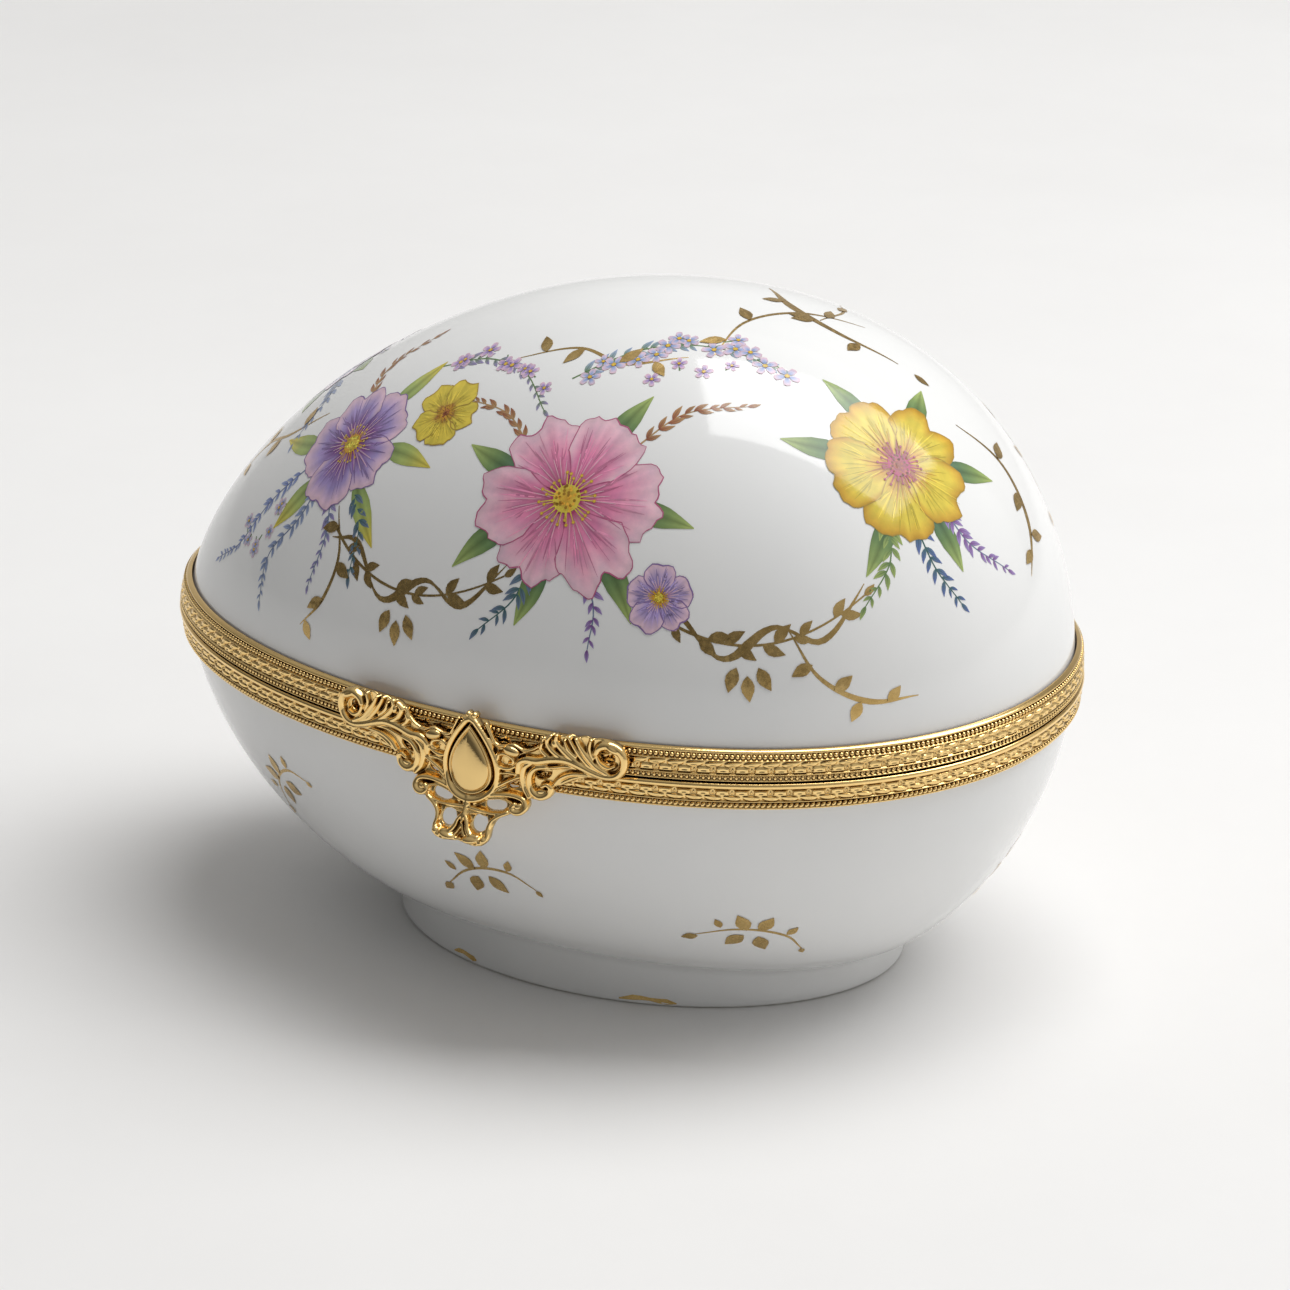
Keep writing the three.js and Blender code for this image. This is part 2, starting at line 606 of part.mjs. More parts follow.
const rivet = (place) => domedPin(RIVET_HEAD, SHIELD_PLATE + SHANK_CLEARANCE,
  SHIELD_PLATE + SHANK_CLEARANCE + RIVET_DOME, RIVET_SHANK, SHANK_END, place);
const stud = () => domedPin(
  STUD_HEAD, BAND_FACE + SHANK_CLEARANCE, CATCH_DEPTH, STUD_SHANK, SHANK_END, STUD_AT);

// Bends a flat clasp piece round the front of the frames: depth runs outwards along the outline's normal
function bendToFront(geometry) {
  const bent = geometry.clone();
  const position = bent.attributes.position;
  for (let i = 0; i < position.count; i += 1) {
    const x = AXIS_X + position.getX(i);
    const slope = (halfWidth(x + EDGE) - halfWidth(x - EDGE)) / (2 * EDGE);
    const normal = new THREE.Vector2(-slope, -1).normalize();
    const depth = BACK_TO_WALL + position.getZ(i);
    position.setXYZ(i, x + normal.x * depth, -halfWidth(x) + normal.y * depth, PARTING_Z + position.getY(i));
  }
  return bent;
}

// Frames are drilled for the shanks that fasten the clasp and its stud
function drilled(frame, shank, places) {
  let body = solid(frame);
  for (const place of places) {
    const drill = geometryOf(post(shank + SHANK_CLEARANCE, -BACK_TO_WALL, 0, place));
    body = body.subtract(solid(bendToFront(drill)));
  }
  return geometryOf(body);
}

function hinge() {
  const group = new THREE.Group();
  group.position.set(AXIS_X, HINGE_Y, PARTING_Z);
  for (let i = 0; i < KNUCKLES; i += 1) {
    const tube = named(`hinge_knuckle_${i + 1}`, knuckle(), gilt);
    tube.position.x = (i - (KNUCKLES - 1) / 2) * (KNUCKLE_LENGTH + KNUCKLE_GAP);
    group.add(tube);
  }
  group.add(named("hinge_pin", hingePin(), steel));
  return group;
}

const model = new THREE.Group();
model.add(
  named("base_shell", baseShell(), porcelain),
  named("lid_shell", lidShell(), porcelain),
  named("base_frame", drilled(rimRing(baseFrameSection(), -1), STUD_SHANK, [STUD_AT]), gilt),
  named("lid_frame", drilled(rimRing(lidFrameSection(), 1), RIVET_SHANK, Object.values(RIVET_PLACES)), gilt),
  named("base_setting_cement", cementRing(BOWL_WALL, -1), plaster),
  named("lid_setting_cement", cementRing(LID_WALL, 1), plaster),
  named("base_hinge_bearer", hingeBearer(-1), gilt),
  named("lid_hinge_bearer", hingeBearer(1), gilt),
  hinge(),
  named("clasp_ornament", bendToFront(claspOrnament()), gilt),
  named("clasp_teardrop", bendToFront(claspTeardrop()), gilt),
  named("clasp_rivet_left", bendToFront(rivet(RIVET_PLACES.left)), gilt),
  named("clasp_rivet_right", bendToFront(rivet(RIVET_PLACES.right)), gilt),
  named("catch_stud", bendToFront(stud()), gilt),
);

// Origin: on the surface the foot stands on, under the middle of the whole box
model.updateMatrixWorld(true);
const bounds = new THREE.Box3().setFromObject(model);
const middle = bounds.getCenter(new THREE.Vector3());
model.position.set(-middle.x, -middle.y, -bounds.min.z);

export default model;
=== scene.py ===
# Egg-shaped porcelain trinket box with gilt mounts: the looks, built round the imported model.
import json
import math
import random

import bpy
import numpy as np
from mathutils import Matrix, Vector
from mathutils.bvhtree import BVHTree


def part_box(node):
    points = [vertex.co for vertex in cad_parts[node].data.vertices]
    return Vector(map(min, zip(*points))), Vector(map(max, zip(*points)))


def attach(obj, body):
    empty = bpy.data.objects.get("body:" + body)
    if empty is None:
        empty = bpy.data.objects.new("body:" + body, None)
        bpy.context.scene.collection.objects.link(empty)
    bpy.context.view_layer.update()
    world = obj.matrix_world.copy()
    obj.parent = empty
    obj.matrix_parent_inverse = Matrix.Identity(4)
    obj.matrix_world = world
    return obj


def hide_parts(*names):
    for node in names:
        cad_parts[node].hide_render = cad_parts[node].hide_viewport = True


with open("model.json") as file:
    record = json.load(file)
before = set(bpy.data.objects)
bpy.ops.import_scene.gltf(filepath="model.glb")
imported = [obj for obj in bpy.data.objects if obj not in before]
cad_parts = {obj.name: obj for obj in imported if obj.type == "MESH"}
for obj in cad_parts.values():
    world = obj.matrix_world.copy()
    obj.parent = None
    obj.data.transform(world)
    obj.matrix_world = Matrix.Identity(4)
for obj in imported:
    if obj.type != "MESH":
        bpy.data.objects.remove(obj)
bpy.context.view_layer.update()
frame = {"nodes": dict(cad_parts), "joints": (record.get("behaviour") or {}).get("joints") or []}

# Sizes in millimetres, as in the model
MM = 0.001
EGG_LENGTH = 145.0
EGG_WIDTH = 101.9
OUTLINE_POWER = 2.09
BLUNTNESS = 0.08
AXIS_X = 5.6
PARTING_Z = 47.0
BOWL_WALL = 4.6
FLOOR_Z = 8.0
BOWL_TURN = 1.8
BOWL_FULLNESS = 1.45
HOLLOW_FULLNESS = 4.2
FOOT_LENGTH = 83.8
FOOT_WIDTH = 62.4
FOOT_RING = 3.4
FOOT_RECESS = 4.0
NECK_INSET = 0.9
CREASE_OUTSET = 0.4
CREASE_FILLET = 1.2
CREASE_END_Z = 5.2
CREASE_SIDE_Z = 8.0
LID_RISE = 57.2
LID_WALL = 3.2
APEX_SHIFT = 12.9
DOME_SHIFT_POWER = 1.33
DOME_LENGTH_POWERS = (1.71, 2.01)
DOME_WIDTH_POWERS = (2.05, 2.05)
HALF_GAP = 0.15
FLANGE = 0.8
FIT = 0.25
CEMENT = 0.5
RIM_LIFT = HALF_GAP + FLANGE + CEMENT + 2 * FIT
SKIRT_DEPTH = 1.7
SKIRT_WALL = 0.6
SKIRT_GAP = 0.4
FRAME_REACH = 1.45
CLASP_STANDOFF = 0.4

# The plan centre of the egg in the row frame
low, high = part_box("base_shell")
hinge = frame["joints"][0]
PLAN = np.array([hinge["pos_m"][0] - AXIS_X * MM, (low.y + high.y) / 2, 0.0])


def placed(points):
    """Millimetres about the plan centre to metres in the row frame."""
    return np.asarray(points, float) * MM + PLAN


def mesh_piece(name, points, faces, material):
    """Piece from points in millimetres about the plan centre."""
    return metre_piece(name, placed(points), faces, material)


def metre_piece(name, points, faces, material):
    mesh = bpy.data.meshes.new(name)
    mesh.from_pydata(np.asarray(points).tolist(), [], list(faces))
    mesh.polygons.foreach_set("use_smooth", [True] * len(mesh.polygons))
    mesh.materials.append(material)
    mesh.update()
    piece = bpy.data.objects.new(name, mesh)
    bpy.context.scene.collection.objects.link(piece)
    return piece


# Egg surfaces, each taking arrays of the angle u round the egg


def outline(u, offset):
    def at(v):
        c = np.cos(v)
        bulge = (1 - np.abs(c) ** OUTLINE_POWER) ** (1 / OUTLINE_POWER)
        y = EGG_WIDTH / 2 * np.sign(np.sin(v)) * bulge * (1 + BLUNTNESS * c)
        return np.stack([EGG_LENGTH / 2 * c, y], -1)

    step = 0.01
    along = at(u + step) - at(u - step)
    along /= np.linalg.norm(along, axis=-1, keepdims=True)
    return at(u) + np.expand_dims(offset, -1) * np.stack([along[..., 1], -along[..., 0]], -1)


def crease_z(u):
    return CREASE_END_Z + (CREASE_SIDE_Z - CREASE_END_Z) * np.sin(u) ** 2


def foot_point(u, outset, z):
    x = AXIS_X + (FOOT_LENGTH / 2 + outset) * np.cos(u)
    y = (FOOT_WIDTH / 2 + outset) * np.sin(u)
    return np.stack([x, y, z + 0 * u], -1)


def bowl_point(u, t, outset=0.0):
    spread = (1 - (1 - t) ** BOWL_TURN) ** (1 / BOWL_FULLNESS)
    crease = foot_point(u, CREASE_OUTSET, crease_z(u))
    rim = outline(u, outset)
    xy = crease[..., :2] + (rim - crease[..., :2]) * np.expand_dims(spread, -1)
    z = crease[..., 2] + (PARTING_Z - crease[..., 2]) * t
    return np.concatenate([xy, np.expand_dims(z, -1)], -1)


def hollow_point(u, t):
    spread = (1 - (1 - t) ** BOWL_TURN) ** (1 / HOLLOW_FULLNESS)
    rim = outline(u, -BOWL_WALL)
    x = AXIS_X + (rim[..., 0] - AXIS_X) * spread
    return np.stack([x, rim[..., 1] * spread, FLOOR_Z + (PARTING_Z - FLOOR_Z) * t + 0 * u], -1)


def dome_point(u, share, outset):
    def across(powers):
        return (1 - share ** powers[0]) ** (1 / powers[1])

    rim = outline(u, outset)
    x = APEX_SHIFT * share**DOME_SHIFT_POWER + rim[..., 0] * across(DOME_LENGTH_POWERS)
    y = rim[..., 1] * across(DOME_WIDTH_POWERS)
    return np.stack([x, y, PARTING_Z + share * (LID_RISE + outset) + 0 * u], -1)


def mount_point(side, u, outset, rise):
    """Point of a rim frame: outset from the porcelain, and rise above or below the parting plane."""
    if side > 0:
        return dome_point(u, rise / (LID_RISE + outset), outset)
    return bowl_point(u, 1 - rise / (PARTING_Z - crease_z(u)), outset)


def towards(azimuth, elevation):
    """Direction from the box at a bearing in degrees; azimuth 0 is the front."""
    az, el = math.radians(azimuth), math.radians(elevation)
    return Vector((math.sin(az) * math.cos(el), -math.cos(az) * math.cos(el), math.sin(el)))


def around(count):
    return np.linspace(0, 2 * math.pi, count, endpoint=False)


def grid_faces(rows, columns, closed_rows=False):
    """Quads of a grid whose columns close on themselves."""
    i = np.arange(rows if closed_rows else rows - 1)[:, None]
    j = np.arange(columns)[None, :]
    a = i * columns + j
    b = i * columns + (j + 1) % columns
    up = (i + 1) % rows
    quads = np.stack([a, b, up * columns + (j + 1) % columns, up * columns + j], -1)
    return quads.reshape(-1, 4).tolist()


def capped(rows, start, end):
    """Points and faces of rows closed by a point at each end."""
    count, width = len(rows), len(rows[0])
    points = np.concatenate([np.concatenate(rows), [start, end]])
    faces = grid_faces(count, width)
    last = (count - 1) * width
    for j in range(width):
        nxt = (j + 1) % width
        faces.append([count * width, nxt, j])
        faces.append([count * width + 1, last + j, last + nxt])
    return points, faces


# Materials


def node_material(name):
    material = bpy.data.materials.new(name)
    material.use_nodes = True
    tree = material.node_tree
    return material, tree, tree.nodes["Principled BSDF"]


def add(tree, kind, **values):
    node = tree.nodes.new(kind)
    for key, value in values.items():
        if key in node.inputs:
            node.inputs[key].default_value = value
        else:
            setattr(node, key, value)
    return node


def noise(tree, scale, detail, roughness=0.5, stretch=None):
    """Noise in object space: scale is in waves per metre, times stretch along each axis."""
    where = add(tree, "ShaderNodeTexCoord")
    node = add(tree, "ShaderNodeTexNoise", Scale=scale, Detail=detail, Roughness=roughness)
    source = where.outputs["Object"]
    if stretch:
        stretched = add(tree, "ShaderNodeVectorMath", operation="MULTIPLY")
        stretched.inputs[1].default_value = stretch
        tree.links.new(source, stretched.inputs[0])
        source = stretched.outputs["Vector"]
    tree.links.new(source, node.inputs["Vector"])
    return node.outputs["Fac"]


def ramp(tree, source, *stops):
    node = add(tree, "ShaderNodeValToRGB")
    elements = node.color_ramp.elements
    while len(elements) < len(stops):
        elements.new(1.0)
    for element, (position, colour) in zip(elements, stops):
        element.position = position
        element.color = (*colour, 1.0)
    tree.links.new(source, node.inputs["Fac"])
    return node.outputs["Color"]


def remap(tree, source, low_out, high_out, low_in=0.3, high_in=0.7):
    node = add(tree, "ShaderNodeMapRange")
    ends = {"From Min": low_in, "From Max": high_in, "To Min": low_out, "To Max": high_out}
    for key, value in ends.items():
        node.inputs[key].default_value = value
    tree.links.new(source, node.inputs["Value"])
    return node.outputs["Result"]


def bump(tree, shader, source, distance):
    node = add(tree, "ShaderNodeBump", Strength=1.0, Distance=distance)
    tree.links.new(source, node.inputs["Height"])
    tree.links.new(node.outputs["Normal"], shader.inputs["Normal"])


MICRON = 1e-6


def mottled(name, tone, roughness, relief, **values):
    """Material made of noises, with further values for its shader.

    tone is (scale, detail, two stops), roughness a value or (scale, detail, low, high), and relief
    (scale, detail, depth in metres).
    """
    material, tree, shader = node_material(name)
    tree.links.new(ramp(tree, noise(tree, *tone[:2]), *tone[2:]), shader.inputs["Base Color"])
    if isinstance(roughness, tuple):
        polish = remap(tree, noise(tree, *roughness[:2]), *roughness[2:])
        tree.links.new(polish, shader.inputs["Roughness"])
    else:
        shader.inputs["Roughness"].default_value = roughness
    bump(tree, shader, noise(tree, *relief[:2]), relief[2])
    for key, value in values.items():
        shader.inputs[key].default_value = value
    return material


def gilt_material(name, bright, dark, roughness, crevice, brushed=None):
    """Gilt brass, with painted shade and dark patina in its crevices from ambient occlusion; crevice is how
    far in metres the painted shade reaches.
    """
    material, tree, shader = node_material(name)
    shader.inputs["Metallic"].default_value = 1.0
    # Painted shade and patina: ambient occlusion darkens the base colour in crevices, with a random tone
    # added to it
    hollow = add(tree, "ShaderNodeAmbientOcclusion", Distance=crevice, samples=8)
    shade_patina_tone = add(tree, "ShaderNodeMath", operation="ADD")
    tree.links.new(hollow.outputs["AO"], shade_patina_tone.inputs[0])
    tree.links.new(remap(tree, noise(tree, 900, 4), -0.08, 0.08), shade_patina_tone.inputs[1])
    middle = tuple((b + d) / 2 for b, d in zip(bright, dark))
    tone = ramp(tree, shade_patina_tone.outputs["Value"], (0.26, dark), (0.55, middle), (0.77, bright))
    tree.links.new(tone, shader.inputs["Base Color"])
    polish = remap(tree, noise(tree, 1500, 4), roughness * 0.75, roughness * 1.3)
    tree.links.new(polish, shader.inputs["Roughness"])
    if brushed:
        bump(tree, shader, noise(tree, 3400, 4, 0.6, brushed), 60 * MICRON)
    else:
        bump(tree, shader, noise(tree, 2600, 3), 12 * MICRON)
    return material


PORCELAIN = mottled(
    "glazed_porcelain", (30, 4, (0.3, (0.82, 0.825, 0.82)), (0.7, (0.86, 0.86, 0.85))),
    (90, 2, 0.05, 0.1), (60, 2, 30 * MICRON), IOR=1.52)
BISQUE = mottled(
    "bare_foot_ring", (700, 5, (0.3, (0.6, 0.57, 0.52)), (0.75, (0.77, 0.75, 0.7))),
    0.75, (2500, 4, 50 * MICRON))
PLASTER = mottled(
    "setting_plaster", (900, 5, (0.3, (0.62, 0.59, 0.52)), (0.7, (0.76, 0.73, 0.66))),
    0.9, (1800, 4, 60 * MICRON))
GILDING = mottled(
    "fired_gilding", (300, 4, (0.3, (0.56, 0.37, 0.13)), (0.7, (0.82, 0.58, 0.24))),
    (1400, 4, 0.16, 0.34), (1600, 3, 10 * MICRON), Metallic=1.0)
GILT = gilt_material("gilt_brass", (1.0, 0.7, 0.29), (0.1, 0.04, 0.008), 0.12, 0.0009)
POLISHED_GILT = gilt_material("polished_gilt", (0.85, 0.6, 0.25), (0.3, 0.16, 0.04), 0.09, 0.0005)
ALONG_HINGE = (0.05, 1.0, 1.0)
HINGE_GILT = gilt_material("hinge_brass", (0.72, 0.5, 0.22), (0.14, 0.07, 0.02), 0.44, 0.001, ALONG_HINGE)
PIN_BRASS = gilt_material("drawn_wire", (0.6, 0.43, 0.2), (0.2, 0.12, 0.04), 0.34, 0.0006)


# Porcelain shells

SHELL_COLUMNS = 288
FOOT_CORNER = 0.7
CLIMB_STEPS = 70
CLIMB_POWER = 1.3
DOME_STEPS = 90


def arc(centre, radius, start, end, count):
    """Points round an arc in a section, angles in degrees."""
    angles = np.radians(np.linspace(start, end, count))
    return [(centre[0] + radius * math.cos(a), centre[1] + radius * math.sin(a)) for a in angles]


def base_shell():
    u = around(SHELL_COLUMNS)
    corner = FOOT_CORNER
    under = [(-FOOT_RING - corner, FOOT_RECESS)]
    under += arc((-FOOT_RING - corner, FOOT_RECESS - corner), corner, 90, 0, 6)[1:]
    under += arc((-FOOT_RING + corner, corner), corner, 180, 270, 7)
    under += arc((-corner, corner), corner, 270, 350, 7)
    foot = [foot_point(u, outset, z) for outset, z in under]
    neck_from = foot[-1]
    neck = foot_point(u, -NECK_INSET, crease_z(u) - CREASE_FILLET)
    crease = foot_point(u, CREASE_OUTSET, crease_z(u))
    side = [neck_from + (neck - neck_from) * s for s in np.linspace(0.12, 1, 8)]
    pull = foot_point(u, -NECK_INSET + 0.1, crease_z(u) - 0.1)
    fillet = [neck * (1 - s) ** 2 + pull * 2 * s * (1 - s) + crease * s**2 for s in np.linspace(0.2, 0.8, 4)]
    climb = (1 - np.cos(np.linspace(0, math.pi / 2, CLIMB_STEPS))) ** CLIMB_POWER

    def top(z0):
        return 1 - RIM_LIFT / (PARTING_Z - z0)

    outside = [bowl_point(u, t * top(crease_z(u))) for t in climb]
    inside = [hollow_point(u, t * top(FLOOR_Z)) for t in climb[1:]][::-1]
    start = [AXIS_X, 0, FOOT_RECESS]
    end = [AXIS_X, 0, FLOOR_Z]
    rows = foot + side + fillet + outside + inside
    piece = mesh_piece("porcelain_bowl", *capped(rows, start, end), PORCELAIN)
    piece.data.materials.append(BISQUE)
    bare = 0.35 * corner * MM
    for face in piece.data.polygons:
        if face.center.z < bare and face.normal.z < -0.5:
            face.material_index = 1
    return piece


def lid_shell():
    u = around(SHELL_COLUMNS)

    def skin(outset):
        rim = math.asin(RIM_LIFT / (LID_RISE + outset))
        climb = np.linspace(rim, math.pi / 2, DOME_STEPS)[:-1]
        return [dome_point(u, math.sin(a), outset) for a in climb]

    start = [APEX_SHIFT, 0, PARTING_Z + LID_RISE - LID_WALL]
    end = [APEX_SHIFT, 0, PARTING_Z + LID_RISE]
    return mesh_piece("porcelain_dome", *capped(skin(-LID_WALL)[::-1] + skin(0.0), start, end), PORCELAIN)


BOWL = base_shell()
DOME = lid_shell()
for piece, body, node in ((BOWL, "base", "base_shell"), (DOME, "lid", "lid_shell")):
    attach(piece, body)
    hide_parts(node)


# Rim frames

RING_COLUMNS = 720
FINE = np.linspace(0, 2 * math.pi, 7201)
FINE_STEPS = np.linalg.norm(np.diff(outline(FINE, FRAME_REACH), axis=0), axis=1)
RUN = np.concatenate([[0], np.cumsum(FINE_STEPS)])
PERIMETER = RUN[-1]


def at_distance(distance):
    """Angle u at a distance along the frame's face."""
    return np.interp(np.mod(distance, PERIMETER), RUN, FINE)


def ring_piece(name, side, section, material):
    u = at_distance(np.arange(RING_COLUMNS) * PERIMETER / RING_COLUMNS)
    ordered = section if side > 0 else section[::-1]
    rows = [mount_point(side, u, outset, rise) for outset, rise in ordered]
    faces = grid_faces(len(rows), RING_COLUMNS, closed_rows=True)
    return mesh_piece(name, np.concatenate(rows), faces, material)


def inner_section(wall, lip_rise):
    """Hidden half of a frame's section: flange on the rim and skirt inside the wall."""
    outer = -wall - SKIRT_GAP
    inner = outer - SKIRT_WALL
    flange = HALF_GAP + FLANGE
    deep = flange + SKIRT_DEPTH
    return [
        (FIT, lip_rise), (FIT, flange), (outer, flange), (outer, deep), (outer - 0.1, deep + 0.1),
        (inner + 0.1, deep + 0.1), (inner, deep), (inner, HALF_GAP + 0.15), (inner + 0.15, HALF_GAP),
    ]


BAND_FLOOR = 0.95
# Outsides of the frames' sections, as outset from the porcelain and rise from the parting plane
LID_SECTION = [
    (1.1, HALF_GAP), (1.3, 0.2), (1.34, 0.27), (1.3, 0.34), (1.02, 0.42), (1.02, 1.02), (1.3, 1.08),
    (1.38, 1.16), (1.3, 1.26), (BAND_FLOOR, 1.34), (BAND_FLOOR, 3.2), (1.26, 3.26), (1.3, 3.34),
    (1.22, 3.42), (0.95, 3.48), (0.92, 4.3), (1.0, 4.36), (1.06, 4.46), (1.0, 4.6), (0.78, 4.76),
    (0.5, 4.88), (0.34, 4.9),
]
BASE_SECTION = [(1.0, HALF_GAP)] + arc((1.05, 0.62), 0.5, -75, 75, 9) + [
    (1.0, 1.14), (BAND_FLOOR, 1.2), (BAND_FLOOR, 2.95), (1.22, 3.0), (1.27, 3.08), (1.2, 3.16), (0.9, 3.24),
    (0.9, 4.1), (1.0, 4.16), (1.04, 4.26), (0.95, 4.38), (0.62, 4.5), (0.4, 4.5),
]


BEAD_PITCH = 0.8
BEAD_SIDES = 8
BEAD_TILTS = (-60, -20, 20, 60)


def bead_row(name, side, outset, rise, radii, lean=0.0):
    """Row of beads round the frame: radii along, out of and across the row."""
    count = round(PERIMETER / BEAD_PITCH)
    u = at_distance(np.arange(count) * PERIMETER / count)
    centre = mount_point(side, u, outset, rise)
    step = 0.002
    ahead = mount_point(side, u + step, outset, rise) - mount_point(side, u - step, outset, rise)
    along = ahead / np.linalg.norm(ahead, axis=1, keepdims=True)
    up = np.array([0.0, 0.0, 1.0])
    out = np.cross(along, up)
    unit = [
        (math.cos(a) * math.cos(b), math.sin(b), math.sin(a) * math.cos(b))
        for b in np.radians(BEAD_TILTS) for a in around(BEAD_SIDES)
    ]
    unit = np.array(unit + [(0, -1, 0), (0, 1, 0)]) * np.array(radii)
    unit[:, 0] += lean * unit[:, 2]
    cloud = centre[:, None, :]
    for way, direction in enumerate((along[:, None, :], out[:, None, :], up)):
        cloud = cloud + unit[None, :, way : way + 1] * direction
    faces = [face[:1] + face[:0:-1] for face in grid_faces(len(BEAD_TILTS), BEAD_SIDES)]
    size = len(unit)
    back, front, last = size - 2, size - 1, size - 2 - BEAD_SIDES
    for j in range(BEAD_SIDES):
        nxt = (j + 1) % BEAD_SIDES
        faces += [(back, j, nxt), (front, last + nxt, last + j)]
    every = [[k * size + corner for corner in face] for k in range(count) for face in faces]
    return mesh_piece(name, cloud.reshape(-1, 3), every, GILT)


LEAF_PITCH = 2.8
LEAF_MIDDLE = 0.74
LINK_MIDDLE = 0.28
LEAF_COLUMNS = 22
LEAF_ROWS = 17


def leaf_band(name, side, low_rise, high_rise, base, relief):
    """Chased band: a row of pillowed leaves over a row of waisted links, repeated round the frame."""
    columns = round(PERIMETER / LEAF_PITCH) * LEAF_COLUMNS
    phase = (np.arange(columns) % LEAF_COLUMNS) / LEAF_COLUMNS
    p, q = np.meshgrid(phase, np.linspace(0, 1, LEAF_ROWS), indexing="xy")
    middle = q - LEAF_MIDDLE - 0.12 * (p - 0.5)
    upper = np.clip(1 - ((p - 0.5) / 0.46) ** 2 - (middle / 0.21) ** 2, 0, 1) ** 0.5
    rib = 1 - 0.4 * np.exp(-((middle / 0.05) ** 2))
    shifted = np.abs(np.mod(p + 0.5, 1.0) - 0.5)
    from_link = q - LINK_MIDDLE
    waist = 0.34 + 0.1 * (from_link / 0.2) ** 2
    link = np.clip((waist - shifted) / 0.07, 0, 1) * np.clip(1 - (from_link / 0.22) ** 4, 0, 1) ** 0.5
    dent = 0.4 * np.exp(-((shifted / 0.2) ** 2) - (from_link / 0.1) ** 2)
    pegs = np.clip(1 - np.abs(p - 0.5) / 0.05, 0, 1) * np.clip(1 - np.abs(from_link) / 0.2, 0, 1)
    height = np.maximum.reduce([upper * rib, link * (0.9 - dent), 0.55 * pegs])
    height = np.clip(height, 0, 1)
    height[0] = height[-1] = 0
    u = at_distance(np.arange(columns) * PERIMETER / columns)
    rises = low_rise + (high_rise - low_rise) * q
    points = np.stack([mount_point(side, u, base + relief * h, rise) for h, rise in zip(height, rises)])
    if side < 0:
        points = points[::-1]
    return mesh_piece(name, points.reshape(-1, 3), grid_faces(LEAF_ROWS, columns), GILT)


def frame_pieces():
    lid = [
        ring_piece("lid_frame_ring", 1, LID_SECTION + inner_section(LID_WALL, LID_SECTION[-1][1]), GILT),
        bead_row("lid_frame_ladder", 1, 1.14, 0.72, (0.27, 0.3, 0.4)),
        leaf_band("lid_frame_leaves", 1, 1.32, 3.24, BAND_FLOOR + 0.01, 0.5),
        bead_row("lid_frame_beads", 1, 0.98, 3.9, (0.37, 0.36, 0.38)),
    ]
    base = [
        ring_piece("base_frame_ring", -1, BASE_SECTION + inner_section(BOWL_WALL, BASE_SECTION[-1][1]), GILT),
        leaf_band("base_frame_leaves", -1, 1.18, 2.98, BAND_FLOOR + 0.01, 0.48),
        bead_row("base_frame_rope", -1, 0.98, 3.68, (0.36, 0.36, 0.42), lean=0.5),
    ]
    for pieces, body in ((lid, "lid"), (base, "base")):
        for piece in pieces:
            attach(piece, body)
    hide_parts("lid_frame")
    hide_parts("base_frame")


frame_pieces()


# Clasp: a pierced relief drawn flat, s along the frames and v up, then bent round the front

BACK_TO_WALL = FRAME_REACH + CLASP_STANDOFF
LEAN = 0.52
LEAN_TOP = -3.0
LEAN_BEND = 2.0
PLATE = 0.4
SHIELD_PLATE = 0.9
BOSS_TOP = 4.9
BOSS_HEIGHT = 10.5
BOSS_HALF_WIDTH = 3.5
BOSS_RISE = 1.5
BOSS_BELLY = 0.6
BOSS_FIT = 0.25
COLLAR_RADIUS = 0.55
TEARDROP_BELLY = 4 / (3 * math.sqrt(3))
TEARDROP_STEPS = 120
ELLIPSE_STEPS = 40
DOME_FOOT = 0.4
SHANK_END = 0.4 - BACK_TO_WALL
SHOULDER_AT = (6.5, 1.9)
SHOULDER_RADII = (1.35, 0.8)
SHOULDER_CREST = 1.75
SHOULDER_SHANK = 0.5
SHOULDER_TILT = -12
STUD_AT = (0.0, -2.4)
STUD_HEAD = 1.3
STUD_SEAT = -CLASP_STANDOFF - 0.25 + 0.1
STUD_SHANK = 0.6
CATCH_DEPTH = 0.2


def half_width(x):
    c = 2 * x / EGG_LENGTH
    bulge = (1 - np.abs(c) ** OUTLINE_POWER) ** (1 / OUTLINE_POWER)
    return EGG_WIDTH / 2 * bulge * (1 + BLUNTNESS * c)


def bent(s, v, depth):
    """Clasp drawing to the front of the frames: depth runs outwards, and the pendant leans out."""
    x = AXIS_X + np.asarray(s, float)
    step = 0.2
    slope = (half_width(x + step) - half_width(x - step)) / (2 * step)
    length = np.sqrt(slope**2 + 1)
    down = np.maximum(LEAN_TOP - np.asarray(v, float), 0)
    lean = LEAN * np.where(down < LEAN_BEND, down**2 / (2 * LEAN_BEND), down - LEAN_BEND / 2)
    out = BACK_TO_WALL + depth + lean
    return np.stack([x - slope / length * out, -half_width(x) - out / length, PARTING_Z + v + 0 * x], -1)


def smooth_curve(points, count=60):
    """Points along a curve that passes smoothly through the given ones."""
    p = np.asarray(points, float)
    p = np.vstack([2 * p[0] - p[1], p, 2 * p[-1] - p[-2]])
    t = np.linspace(0, len(points) - 1 - 1e-9, count)
    i = t.astype(int)
    f = (t - i)[:, None]
    a, b, c, d = p[i], p[i + 1], p[i + 2], p[i + 3]
    return 0.5 * (2 * b + (c - a) * f + (2 * a - 5 * b + 4 * c - d) * f**2 + (3 * b - a - 3 * c + d) * f**3)


